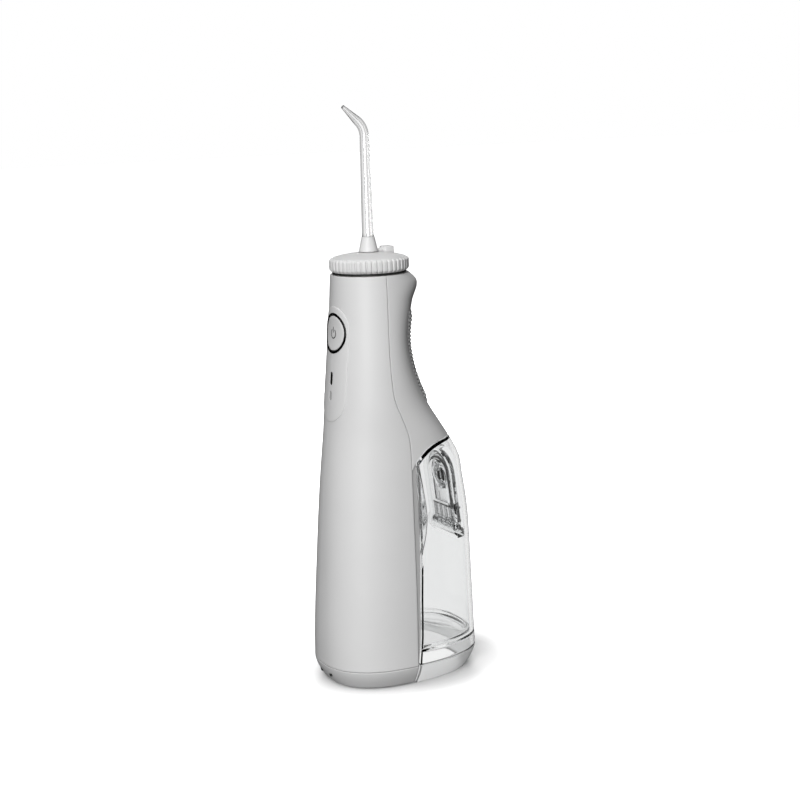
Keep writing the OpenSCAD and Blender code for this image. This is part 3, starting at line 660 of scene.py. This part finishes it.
def spine_wall():
    """Wall between body and tank; its ends show as a narrow band beside the front casing."""
    rings = []
    for z in spread(0.9, 118.6, 170):
        front = curve(FRONT_EDGE, min(z, 113)) + 0.2
        back = curve(TANK_EDGE, z) - 0.3
        a0, a1 = angle_at_y(z, 0.75, front), angle_at_y(z, 0.75, back)
        right_arc = [(*section_point(z, 0.75, a0 + (a1 - a0) * k / 5), z) for k in range(6)]
        x0 = right_arc[-1][0]
        across = 90
        middle = []
        for j in range(1, across):
            x = x0 - 2 * x0 * j / across
            middle.append((x, front_line(z, x, back, 0), z))
        left_arc = [(-x, y, zz) for x, y, zz in right_arc[::-1]]
        rings.append(right_arc + middle + left_arc)
    obj = loft("spine_wall", rings)
    bevel(obj, 0.2, 2, 60)
    return smooth(obj, 40)


def base_cover():
    """Closed base under the front casing."""
    rings = []
    for z in [0.8, 1.3] + spread(2, BASE_H - 0.25, 22):
        plate = curve(FRONT_EDGE, z)
        a = angle_at_y(z, 0, plate)
        ring = []
        for j in range(140):
            angle = a - (math.pi + 2 * a) * j / 139
            ring.append((*section_point(z, 0, angle), z))
        x0 = ring[-1][0]
        ring += [(x0 - 2 * x0 * j / 30, plate, z) for j in range(1, 30)]
        rings.append(ring)
    obj = loft("base_cover", rings)
    bevel(obj, 0.3)
    return smooth(obj)


# ---------------------------------------------------------------- clear tank
def tank_plate(z, lift):
    """Front face of the tank at height z: the wall line, or the arch above it."""
    if z + lift < curve(ARCH, curve(TANK_EDGE, min(z, 118))):
        return curve(TANK_EDGE, z)
    return max(curve(TANK_EDGE, min(z, 118)), arch_y(z + lift))


def tank_solid(name, low, top, inset, shift, lift, grow):
    """Solid tank shape, drawn in by inset all round and shifted back from the wall line."""
    rings = [
        tank_ring(z, inset, tank_plate(z, lift) + shift, grow)
        for z in spread(low, 112, 90) + spread(112.6, top, 34)
    ]
    return loft(name, rings)


def door_matrix():
    """Frame of the door: X along the hinge, Y out of the tank, Z up the door."""
    spot = Vector((0, HINGE_Y, HINGE_Z)) * MM
    return Matrix.Translation(spot) @ Matrix.Rotation(math.radians(DOOR_LEAN), 4, "X")


def arch_outline(half_width, bottom, top, steps=28):
    """Outline in the door's plane as (x, v) points, anticlockwise."""
    centre = top - half_width
    arc = [
        (half_width * math.cos(math.pi * k / steps), centre + half_width * math.sin(math.pi * k / steps))
        for k in range(steps + 1)
    ]
    return [(-half_width, bottom), (half_width, bottom)] + arc


def arched_plate(name, half_width, bottom, top, near, far_side):
    """Plate with an arched top in the door's frame, between two distances from the hinge."""
    outline = arch_outline(half_width, bottom, top)
    rings = [[(x, u, v) for x, v in outline] for u in (near, far_side)]
    return transform(loft(name, rings), door_matrix())


def along_hinge(name, r, half_length):
    obj = lathe(name, [(r, -half_length), (r, half_length)], 40)
    transform(obj, Matrix.Rotation(math.pi / 2, 4, "Y"))
    return transform(obj, door_matrix())


def clear_tank():
    shell = tank_solid("clear_tank", FLOOR_Z, 125.8, 0, 0, 0.55, 0.6)
    inside = tank_solid("inside", FLOOR_Z - 1, 123.6, WALL, WALL, 0.75 + WALL, 0.6 + WALL)
    cut(inside, arched_plate("pocket", DOOR_HALF_W + 2.6, -5, DOOR_L + 2.6, -2.5, 30))
    cut(inside, along_hinge("knuckle_pocket", 4.6, DOOR_HALF_W + 2.5))
    cut(shell, inside)
    cut(shell, arched_plate("recess", DOOR_HALF_W + 0.6, -3, DOOR_L + 0.6, -0.5, 30))
    cut(shell, along_hinge("knuckle", 2.6, DOOR_HALF_W + 0.5))
    cut(shell, arched_plate("fill_hole", 8, 12, 36.5, -10, 10))
    cut(shell, along_hinge("pin_hole", 1.0, DOOR_HALF_W + 2))
    tidy(shell)
    return smooth(shell, 28)


def clear_skirt():
    """Clear skirt with the tank's floor plate and the raised rib round the floor."""
    outer = spread(BASE_H + 0.25, 19.15, 12)
    inner = spread(BASE_H + 0.25, 17.1, 8)
    rib = [(19.15, 2.3), (19.2, 2.6), (20.1, 2.8), (20.3, 3.1), (20.3, 3.9), (20.1, 4.2), (19.3, 4.4)]
    rings = [tank_ring(z, inset, curve(TANK_EDGE, z) + inset, -9) for z, inset in rib[::-1]]
    rings += [tank_ring(z, 0, curve(TANK_EDGE, z), -9) for z in outer[::-1]]
    rings += [tank_ring(z, WALL, curve(TANK_EDGE, z) + WALL, -9) for z in inner]
    obj = loft("clear_skirt", rings)
    bevel(obj, 0.25, 2, 60)
    return smooth(obj, 40)


def frosted_foot():
    """Tapered foot ring under the clear skirt."""
    heights = [0.05, 0.5] + spread(1.2, BASE_H - 0.05, 14)
    rings = [tank_ring(z, 0, curve(TANK_EDGE, z), -9) for z in heights[::-1]]
    rings += [tank_ring(z, WALL, curve(TANK_EDGE, z) + WALL, -9) for z in heights]
    obj = loft("frosted_foot", rings, close_ring=True)
    bevel(obj, 0.25, 2, 60)
    return smooth(obj, 40)


# ---------------------------------------------------------------- fill door
def door_plate():
    obj = arched_plate("door_plate", DOOR_HALF_W, 2.2, DOOR_L, DOOR_FACE, DOOR_FACE + 2)
    raised = arched_plate(
        "raised", DOOR_HALF_W - 2.2, 11.5, DOOR_L - 2.2, DOOR_FACE + 1.4, DOOR_FACE + 2.6
    )
    cut(obj, raised, "UNION")
    dish = lathe("dish", round_profile([(0.01, 0.9), (5.4, 0.9), (7.2, 3.2), (0.01, 3.2)], 0.5), 96)
    transform(dish, vent_matrix(-2.0))
    cut(obj, dish)
    bevel(obj, 0.3, 3, 40)
    return smooth(obj, 35)


def vent_matrix(out=0.0):
    """Frame of the vent on the door: Z points out of the door."""
    spot = Vector((0, (DOOR_FACE + 2 + out), VENT_UP)) * MM
    return door_matrix() @ Matrix.Translation(spot) @ Matrix.Rotation(-math.pi / 2, 4, "X")


def hinge_barrel():
    """Hinge barrel: knuckles round the pin, below the ribs that run up into the door."""
    r = 2.0
    profile = []
    for x0, x1 in ((-11, -7.4), (-6.9, -2.4), (-1.9, 1.9), (2.4, 6.9), (7.4, 11)):
        profile += [(r - 0.5, x0), (r, x0 + 0.25), (r, x1 - 0.25), (r - 0.5, x1)]
    obj = lathe("hinge_barrel", [(1.05, -11)] + profile + [(1.05, 11)], 40, closed=True)
    transform(obj, Matrix.Rotation(math.pi / 2, 4, "Y"))
    return transform(obj, door_matrix())


def box(name, low, high, edge=0.25):
    """Block with rounded edges, given by two corners."""
    (x0, y0, z0), (x1, y1, z1) = low, high
    rings = [[(x0, y0, z), (x1, y0, z), (x1, y1, z), (x0, y1, z)] for z in (z0, z1)]
    return bevel(loft(name, rings), edge, 3, 40)


def joined(name, objects):
    """One object made of several meshes that touch or overlap a little."""
    bpy.context.view_layer.update()
    bm = bmesh.new()
    for obj in objects:
        bm.from_mesh(obj.data)
    mesh = bpy.data.meshes.new(name)
    bm.to_mesh(mesh)
    bm.free()
    for obj in objects:
        bpy.data.objects.remove(obj)
    result = bpy.data.objects.new(name, mesh)
    bpy.context.scene.collection.objects.link(result)
    return result


def hinge_ribs():
    ribs = []
    for x in (-9.2, -4.6, 0, 4.6, 9.2):
        ribs.append(box(f"rib{x}", (x - 0.55, 0.4, 0.8), (x + 0.55, 2.8, 10.2), 0.2))
    ribs.append(box("cross_low", (-10.6, 0.5, 2.4), (10.6, 2.9, 3.4), 0.2))
    ribs.append(box("cross_high", (-10.6, 0.5, 9.6), (10.6, 3.4, 10.6), 0.2))
    ribs.append(box("ledge", (-6.5, 2.0, 11.6), (6.5, 2.95, 12.3), 0.15))
    ribs.append(box("ledge_end", (-6.5, 2.0, 12.3), (-5.8, 2.95, 16.6), 0.15))
    obj = joined("hinge_ribs", ribs)
    transform(obj, door_matrix())
    return smooth(obj, 35)


def vent_ring():
    """Raised ring round the vent's dish and central boss."""
    profile = round_profile(
        [(5.5, -0.2), (7.9, -0.2), (7.9, 0.75), (7.2, 1.1), (6.3, 1.1), (5.6, 0.5), (5.5, -0.2)], 0.25
    )
    ring = lathe("vent_ring", profile[:-1], 128, closed=True)
    return smooth(transform(ring, vent_matrix()), 35)


def vent_boss():
    profile = round_profile([(0.01, -1.0), (3.7, -1.0), (3.5, 0.2), (2.9, 0.8), (0.01, 0.8)], 0.3)
    boss = lathe("vent_boss", profile, 96)
    transform(boss, vent_matrix())
    slit = box("slit_cut", (-0.85, -2.3, 0.1), (0.85, 2.3, 3), 0.02)
    transform(slit, vent_matrix())
    cut(boss, slit)
    return smooth(boss, 35)


def vent_inner_ring():
    """Rim and boss on the door's inner face, which reach into the fill hole."""
    profile = round_profile(
        [(5.5, -1.95), (7.6, -1.95), (7.5, -3.3), (6.9, -3.7), (6.1, -3.7), (5.6, -3.3), (5.5, -1.95)], 0.3
    )
    ring = lathe("inner_rim", profile[:-1], 128, closed=True)
    boss = lathe("inner_boss", round_profile(
        [(0.01, -1.95), (3.9, -1.95), (3.6, -2.9), (3.0, -3.3), (0.01, -3.3)], 0.35), 96)
    slit = box("slit_cut", (-0.85, -2.3, -5), (0.85, 2.3, -1), 0.02)
    cut(boss, slit)
    return smooth(transform(joined("vent_inner_ring", [ring, boss]), vent_matrix()), 35)


def vent_slit():
    """Dark block set in the vent's slot, reaching through the door so that the slot shows black from both
    sides.
    """
    obj = box("vent_slit", (-0.8, -2.25, -3.75), (0.8, 2.25, 0.45), 0.2)
    return smooth(transform(obj, vent_matrix()), 35)


# ---------------------------------------------------------------- front panel and button
def stadium_rings(r, low, high, insets, steps=96):
    """Nested stadium outlines, one for each inset, as (x, z) lists."""
    out = []
    for d in insets:
        rr = r - d
        ring = []
        quarter = steps // 2
        for k in range(quarter):
            a = math.pi * k / (quarter - 1)
            ring.append((rr * math.cos(a), high - r + rr * math.sin(a)))
        straight = 40
        for k in range(1, straight):
            ring.append((-rr, high - r - (high - low - 2 * r) * k / straight))
        for k in range(quarter):
            a = math.pi + math.pi * k / (quarter - 1)
            ring.append((rr * math.cos(a), low + r + rr * math.sin(a)))
        for k in range(1, straight):
            ring.append((rr, low + r + (high - low - 2 * r) * k / straight))
        out.append(ring)
    return out


def raised_stadium(name, r, low, high, lift, edge, depth, dish=0.0):
    """Pad that follows the front surface, with a rounded edge."""
    insets = [0, 0] + [edge * (1 - math.cos(a)) for a in (0.4, 0.8, 1.2, 1.57)]
    lifts = [-depth, lift - edge] + [lift - edge * (1 - math.sin(a)) for a in (0.4, 0.8, 1.2, 1.57)]
    inner = [edge + (r - edge) * t for t in (0.12, 0.3, 0.5, 0.7, 0.85, 0.96)]
    insets += inner
    lifts += [lift - dish * min(1, (d - edge) / (r * 0.5)) for d in inner]
    rings = [
        [tuple(on_front(x, z, h)) for x, z in ring]
        for ring, h in zip(stadium_rings(r, low, high, insets), lifts)
    ]
    return loft(name, rings)


def control_panel():
    obj = raised_stadium("control_panel_skin", PANEL_HALF_W, PANEL_LOW, PANEL_HIGH, 0.3, 0.22, 0.5)
    cut(obj, button_cutter(BUTTON_HOLE_R))
    for low, high in (LED_UPPER, LED_LOWER):
        slot = raised_stadium("slot", 1.45, low - 0.1, high + 0.1, 1.5, 0.05, 0.15)
        cut(obj, slot)
    tidy(obj)
    return smooth(obj, 35)


def round_on_front(profile, steps=128):
    """Rings about the button's axis from (r, lift) points, which follow the front surface."""
    lean = math.radians(BUTTON_LEAN)
    outwards = Vector((0, -math.cos(lean), math.sin(lean)))
    rings = []
    for r, lift in profile:
        ring = []
        for j in range(steps):
            a = 2 * math.pi * j / steps
            x, z = r * math.cos(a), BUTTON_Z + r * math.cos(lean) * math.sin(a)
            ring.append(tuple(on_front(x, z, 0) + outwards * lift))
        rings.append(ring)
    return rings


def trim_ring():
    profile = round_profile(
        [(8.95, -1.2), (10.3, -1.2), (10.3, 0.5), (9.7, 0.85), (9.0, 0.45), (8.95, -1.2)], 0.3, 5
    )
    obj = loft("trim_ring", round_on_front(profile[:-1]), close_ring=True)
    return smooth(obj, 60)


def button_disc():
    """Power button: its underside and its dished face both follow the front surface."""
    underside = [(0.05, -1.2), (4.5, -1.2), (8.75, -1.2)]
    rim = round_profile([(8.75, -0.4), (8.75, 0.35), (8.1, 0.42)], 0.5, 6)
    face = [(7.0, 0.3), (5.5, 0.18), (4, 0.1), (2.5, 0.06), (1, 0.05), (0.05, 0.05)]
    obj = loft("button_disc", round_on_front(underside + rim + face))
    return smooth(obj, 35)


def button_lift(r):
    """Height of the button's dished face at radius r."""
    return 0.05 + 0.0062 * r * r


def power_icon():
    """Generic power symbol: a ring open at the top with a bar in the opening."""
    strips = []
    centre = BUTTON_Z - 0.2
    radius, width = 2.3, 0.55
    gap_half = 0.55
    path = []
    for k in range(49):
        a = math.pi / 2 + gap_half + (2 * math.pi - 2 * gap_half) * k / 48
        path.append((radius * math.cos(a), centre + radius * math.sin(a)))
    strips.append(path)
    strips.append([(0, centre + 0.5 + 2.9 * k / 6) for k in range(7)])
    parts = []
    for number, line in enumerate(strips):
        rings = []
        for i, (x, z) in enumerate(line):
            x1, z1 = line[min(i + 1, len(line) - 1)]
            x0, z0 = line[max(i - 1, 0)]
            d = Vector((x1 - x0, z1 - z0)).normalized()
            side = Vector((-d.y, d.x)) * width / 2
            ring = []
            for s, h in ((-1, -0.15), (1, -0.15), (1, 0.035), (0.6, 0.06), (-0.6, 0.06), (-1, 0.035)):
                px, pz = x + side.x * s, z + side.y * s
                lift = button_lift(math.hypot(px, pz - BUTTON_Z)) + h
                ring.append(tuple(on_front(px, pz, lift)))
            rings.append(ring)
        parts.append(loft(f"icon{number}", rings))
    return smooth(joined("power_symbol", parts), 50)


def led_insert(name, span):
    """Window of an indicator light, set into its slot."""
    obj = raised_stadium(name, 1.35, *span, 0.12, 0.15, 0.6)
    return smooth(obj, 40)


# ---------------------------------------------------------------- grip
def grip_skin():
    """Ribbed rubber pad on the back of the neck."""
    rows, columns = 481, 61
    points = []
    for i in range(rows):
        z = GRIP_LOW + (GRIP_HIGH - GRIP_LOW) * i / (rows - 1)
        wave = 0.5 + 0.5 * math.cos(2 * math.pi * (z - GRIP_LOW - 1) / 2)
        rib = 0.2 + 0.75 * wave**1.4
        end = min(1, (z - GRIP_LOW) / 4, (GRIP_HIGH - z) / 4)
        for j in range(columns):
            s = 2 * j / (columns - 1) - 1
            x = GRIP_HALF_W * s
            side = min(1, (1 - abs(s)) * GRIP_HALF_W / 1.6)
            ease = math.sin(math.pi / 2 * max(0, min(end, side)))
            points.append(tuple(on_rear(x, z, -0.25 + (rib + 0.25) * ease)))
    obj = mesh_object("grip_skin", points, grid_faces(rows, columns))
    thicken(obj, 0.5)
    return smooth(obj, 60)


# ---------------------------------------------------------------- knob and tip
def knob_rim():
    """Toothed knob: rounded teeth that fade out into the top and bottom chamfers."""
    def tooth(r, angle):
        if r < KNOB_R - 1.6:
            return r
        phase = (angle * KNOB_TEETH / (2 * math.pi)) % 1
        wave = min(1, max(0, 1.9 * math.sin(math.pi * phase) - 0.25))
        return r - 0.75 * (1 - wave)

    profile = round_profile([
        (9, KNOB_Z), (KNOB_R - 1.3, KNOB_Z), (KNOB_R, KNOB_Z + 1.3), (KNOB_R, RIM_TOP - 0.9),
        (KNOB_R - 1.0, RIM_TOP), (KNOB_R - 2.6, RIM_TOP), (KNOB_R - 2.6, KNOB_Z + 2), (9, KNOB_Z + 2),
        (9, KNOB_Z),
    ], 0.5, 4)
    obj = lathe("knob_rim", profile[:-1], KNOB_TEETH * 14, tooth, closed=True)
    obj = transform(obj, Matrix.Translation((0, AXIS_Y * MM, 0)))
    return smooth(obj, 40)


def knob_dome():
    profile = round_profile([
        (5.25, RIM_TOP - 0.6), (KNOB_R - 1.35, RIM_TOP - 0.6), (KNOB_R - 1.5, RIM_TOP + 0.2),
        (15, RIM_TOP + 1.3), (11, RIM_TOP + 2.0), (7, RIM_TOP + 2.5), (5.4, CAP_TOP),
        (5.25, RIM_TOP - 0.6),
    ], 0.6, 5)
    obj = lathe("knob_dome", profile[:-1], 160, closed=True)
    transform(obj, Matrix.Translation((0, AXIS_Y * MM, 0)))
    cut(obj, box("pad_cut", (-3.3, AXIS_Y + 7.6, 214), (3.3, AXIS_Y + 13.6, 226), 0.3))
    cut(obj, box("neck_cut", (-1.9, AXIS_Y + 4.6, 221.0), (1.9, AXIS_Y + 8.2, 226), 0.1))
    bevel(obj, 0.12, 2, 50)
    return smooth(obj, 35)


def eject_pad():
    """Release button: a flat pad with a slanted neck that reaches down to the tip's collar."""
    pad = box("pad", (-3, AXIS_Y + 7.85, 219.1), (3, AXIS_Y + 13.3, 225.4), 0.55)
    y0, y1 = AXIS_Y + 5.3, AXIS_Y + 8.3
    side = [(y0, 222.7), (y1, 222.7), (y1, 225.0), (y0 + 1.6, 224.5), (y0, 223.6)]
    rings = [[(x, y, z) for y, z in side] for x in (-1.6, 1.6)]
    neck = bevel(loft("neck", rings), 0.3, 3, 30)
    return smooth(joined("eject_pad", [pad, neck]), 35)


def tip_cone():
    profile = round_profile([
        (1.3, 205), (2.9, 205), (3, 205.6), (3, 223.1), (4.9, 223.2), (4.72, 224.5),
        (3.32, 230.75), (2.05, 230.75), (2.05, 226.4), (1.3, 226.4), (1.3, 205),
    ], 0.3, 4)
    obj = lathe("tip_cone", profile[:-1], 96, closed=True)
    transform(obj, Matrix.Translation((0, AXIS_Y * MM, 0)))
    return smooth(obj, 35)


def tip_route():
    """Centre line of the tip, with the outer and inner radius at each point."""
    bend_z, bend_r, bend = 280.7, 10, math.radians(48)
    low = 230.8
    route = [(0, AXIS_Y, low - 1, 1.95, 1.0), (0, AXIS_Y, low, 1.95, 1.0), (0, AXIS_Y, low + 0.03, 3.0, 1.0)]
    route.append((0, AXIS_Y, low + 0.15, 3.1, 1.0))
    for k in range(1, 25):
        t = k / 24
        route.append((0, AXIS_Y, low + (bend_z - low) * t, 3.1 - 0.8 * t, 1 - 0.05 * t))
    for k in range(1, 25):
        a = bend * k / 24
        route.append((0, AXIS_Y - bend_r * (1 - math.cos(a)), bend_z + bend_r * math.sin(a), 2.3, 0.95))
    _, y0, z0, _, _ = route[-1]
    for k in range(1, 13):
        t = k / 12
        r = 2.3 - 1.43 * t
        route.append((0, y0 - 11.2 * t * math.sin(bend), z0 + 11.2 * t * math.cos(bend), r, 0.95 - 0.55 * t))
    _, y1, z1, r1, b1 = route[-1]
    route.append((0, y1 - 0.1 * math.sin(bend), z1 + 0.1 * math.cos(bend), r1 - 0.15, b1))
    return route


def tip_tube():
    route = tip_route()
    sides = 96
    outer, inner = [], []
    for i, (x, y, z, r, b) in enumerate(route):
        p = Vector(route[min(i + 1, len(route) - 1)][:3]) - Vector(route[max(i - 1, 0)][:3])
        across = Vector((1, 0, 0))
        up = p.normalized().cross(across)
        for radius, store in ((r, outer), (b, inner)):
            ring = []
            for j in range(sides):
                a = 2 * math.pi * j / sides
                side = across * math.cos(a) + up * math.sin(a)
                ring.append(tuple(Vector((x, y, z)) + radius * side))
            store.append(ring)
    obj = loft("tip_tube_clear", outer + inner[::-1], close_ring=True)
    return smooth(obj, 50)


# ---------------------------------------------------------------- assembly
place(front_casing(), shell_mat, "root", ["front_shell"])
place(hood(), shell_mat, "root", ["rear_shell"])
place(spine_wall(), spine_painted_shade_mat, "root", ["rear_shell"])
place(base_cover(), shell_mat, "root", ["base_cap"])
place(control_panel(), panel_mat, "root", ["control_panel"])
place(trim_ring(), ring_mat, "root", ["button_ring"])
place(button_disc(), panel_mat, "power_button", ["power_button"])
place(power_icon(), icon_mat, "power_button")
place(led_insert("window_upper", LED_UPPER), led_dark_mat, "root", ["led_window_upper"])
place(led_insert("window_lower", LED_LOWER), led_pale_mat, "root", ["led_window_lower"])
place(grip_skin(), grip_mat, "root", ["grip_pad"])
place(knob_rim(), knob_mat, "knob", ["knob"])
place(knob_dome(), knob_mat, "knob", ["knob_cap"])
place(eject_pad(), knob_mat, "eject_button", ["eject_button"])
place(tip_cone(), knob_mat, "tip", ["tip_collar"])
place(tip_tube(), tube_mat, "tip", ["tip_tube"])
place(clear_tank(), tank_mat, "tank", ["tank_shell"])
place(clear_skirt(), base_clear_mat, "tank", ["tank_base"])
place(frosted_foot(), foot_clear_mat, "tank", ["tank_base"])
place(door_plate(), door_mat, "fill_door", ["fill_door"])
place(smooth(hinge_barrel()), door_mat, "fill_door", ["fill_door"])
place(hinge_ribs(), door_mat, "fill_door", ["fill_door"])
place(vent_ring(), door_mat, "fill_door", ["door_vent_ring"])
place(vent_boss(), door_mat, "fill_door", ["door_vent_ring"])
place(vent_inner_ring(), door_mat, "fill_door")
place(vent_slit(), seal_mat, "fill_door")

CARRIED = {
    foot_mat: ["rubber_feet"],
    steel_mat: [
        "charge_contacts", "motor_can", "armature", "wrist_pin", "outlet_spring", "shell_screws",
        "tip_latch", "eject_spring",
    ],
    pin_mat: ["hinge_pins"],
    brass_mat: ["pinion"],
    seal_mat: [
        "neck_seal", "piston_seal", "outlet_poppet", "port_o_ring", "tip_o_ring",
        "tank_check_valve", "door_gasket",
    ],
    frame_mat: ["tact_switch", "motor_end_bell", "gearbox_frame"],
    inner_mat: [
        "battery_cradle", "neck_plate", "spout", "crank_gear", "connecting_rod", "piston",
        "pump_cylinder", "valve_block", "inlet_port", "tip_holder", "tank_outlet", "intake_filter",
    ],
    tube_mat: ["inlet_tube", "outlet_tube"],
    battery_mat: ["battery_cell"],
    board_mat: ["main_pcb"],
}
for material, names in CARRIED.items():
    for name in names:
        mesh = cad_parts[name].data
        mesh.materials.clear()
        mesh.materials.append(material)


# ---------------------------------------------------------------- stage and light
VIEW_HEADING = 60.6
NEAR_GLOW = 0.0
FAR_GLOW = 1.0
FLOOR_HALF = 8


def stage_floor():
    """Pale floor with a painted glow that grows away from the object, so it turns white there and leaves a
    soft shadow at its foot.
    """
    size = FLOOR_HALF
    mesh = bpy.data.meshes.new("floor")
    mesh.from_pydata(
        [(-size, -size, 0), (size, -size, 0), (size, size, 0), (-size, size, 0)], [], [(0, 1, 2, 3)]
    )
    obj = bpy.data.objects.new("floor", mesh)
    bpy.context.scene.collection.objects.link(obj)
    mat = shader("pale_floor", (0.9, 0.9, 0.9), 0.6)
    bsdf = mat.node_tree.nodes["Principled BSDF"]
    bsdf.inputs["Emission Color"].default_value = (1, 1, 1, 1)
    coord = node(mat, "ShaderNodeTexCoord")
    distance = node(mat, "ShaderNodeVectorMath", operation="LENGTH")
    glow = node(mat, "ShaderNodeMapRange", interpolation_type="SMOOTHSTEP")
    for key, number in (
        ("From Min", 0.036), ("To Min", NEAR_GLOW), ("From Max", 0.075), ("To Max", FAR_GLOW)
    ):
        glow.inputs[key].default_value = number
    link = mat.node_tree.links.new
    # The glow's centre is shifted and its reach stretched, so the painted glow gives the soft shadow its
    # elongated outline.
    stretch = node(mat, "ShaderNodeMapping")
    stretch.inputs["Location"].default_value = (0, -0.008, 0)
    stretch.inputs["Scale"].default_value = (1.15, 0.85, 1)
    link(coord.outputs["Object"], stretch.inputs["Vector"])
    link(stretch.outputs["Vector"], distance.inputs[0])
    link(distance.outputs["Value"], glow.inputs["Value"])
    link(glow.outputs["Result"], bsdf.inputs["Emission Strength"])
    vary_rough(mat, 20, 0.55, 0.65)
    mesh.materials.append(mat)
    obj.visible_diffuse = False
    obj.visible_glossy = False
    obj.visible_transmission = False


def area_light(name, heading, elevation, distance, size, watts):
    """Soft box that looks at the middle of the object from a heading, in degrees from the front."""
    data = bpy.data.lights.new(name, "AREA")
    data.shape = "RECTANGLE"
    data.size, data.size_y = size
    data.energy = watts
    obj = bpy.data.objects.new(name, data)
    bpy.context.scene.collection.objects.link(obj)
    a, e = math.radians(heading), math.radians(elevation)
    back = Vector((math.sin(a) * math.cos(e), -math.cos(a) * math.cos(e), math.sin(e)))
    obj.location = Vector((0, 0, 0.12)) + back * distance
    obj.rotation_euler = (-back).to_track_quat("-Z", "Y").to_euler()
    return obj


def studio_world(strength, side_strength, under_strength, back_share):
    """Soft surroundings, dimmer beside, behind and below; seen directly or through glass they are white."""
    world = bpy.data.worlds.new("studio")
    bpy.context.scene.world = world
    world.use_nodes = True
    tree = world.node_tree
    link = tree.links.new
    surround = tree.nodes["Background"]
    coord = tree.nodes.new("ShaderNodeTexCoord")
    heading = math.radians(VIEW_HEADING)

    def grey_ramp(direction, absolute, low, low_value, high, high_value):
        dot = tree.nodes.new("ShaderNodeVectorMath")
        dot.operation = "DOT_PRODUCT"
        dot.inputs[1].default_value = direction
        link(coord.outputs["Generated"], dot.inputs[0])
        value = dot.outputs["Value"]
        if absolute:
            size = tree.nodes.new("ShaderNodeMath")
            size.operation = "ABSOLUTE"
            link(value, size.inputs[0])
            value = size.outputs["Value"]
        ramp = tree.nodes.new("ShaderNodeMapRange")
        ramp.interpolation_type = "SMOOTHSTEP"
        for key, number in (
            ("From Min", low), ("To Min", low_value), ("From Max", high), ("To Max", high_value)
        ):
            ramp.inputs[key].default_value = number
        link(value, ramp.inputs["Value"])
        return ramp.outputs["Result"]

    sides = grey_ramp((math.cos(heading), math.sin(heading), 0), True, 0.28, strength, 0.6, side_strength)
    under = grey_ramp((0, 0, 1), False, -0.15, under_strength, 0.05, 1)
    back = grey_ramp((math.sin(heading), -math.cos(heading), 0), False, -0.4, back_share, 0.3, 1)

    def combine(operation, first, second):
        result = tree.nodes.new("ShaderNodeMath")
        result.operation = operation
        link(first, result.inputs[0])
        link(second, result.inputs[1])
        return result.outputs["Value"]

    link(combine("MULTIPLY", combine("MULTIPLY", sides, under), back), surround.inputs["Strength"])
    surround.inputs["Color"].default_value = (1, 1, 1, 1)
    path = tree.nodes.new("ShaderNodeLightPath")
    white = tree.nodes.new("ShaderNodeBackground")
    white.inputs["Color"].default_value = (1, 1, 1, 1)
    mix = tree.nodes.new("ShaderNodeMixShader")
    seen = combine("MAXIMUM", path.outputs["Is Camera Ray"], path.outputs["Is Transmission Ray"])
    link(seen, mix.inputs["Fac"])
    link(surround.outputs["Background"], mix.inputs[1])
    link(white.outputs["Background"], mix.inputs[2])
    link(mix.outputs["Shader"], tree.nodes["World Output"].inputs["Surface"])


stage_floor()
studio_world(0.85, 0.08, 0.12, 0.4)
area_light("key", 46, 18, 1.2, (0.5, 1.0), 13)
area_light("overhead", 60, 84, 1.5, (1.2, 1.2), 7)
rear_fill = area_light("rear_fill", VIEW_HEADING + 180, 20, 1.2, (0.5, 0.4), 9)
rear_fill.visible_transmission = False
rear_fill.visible_glossy = False
bpy.context.scene.view_settings.view_transform = "Standard"
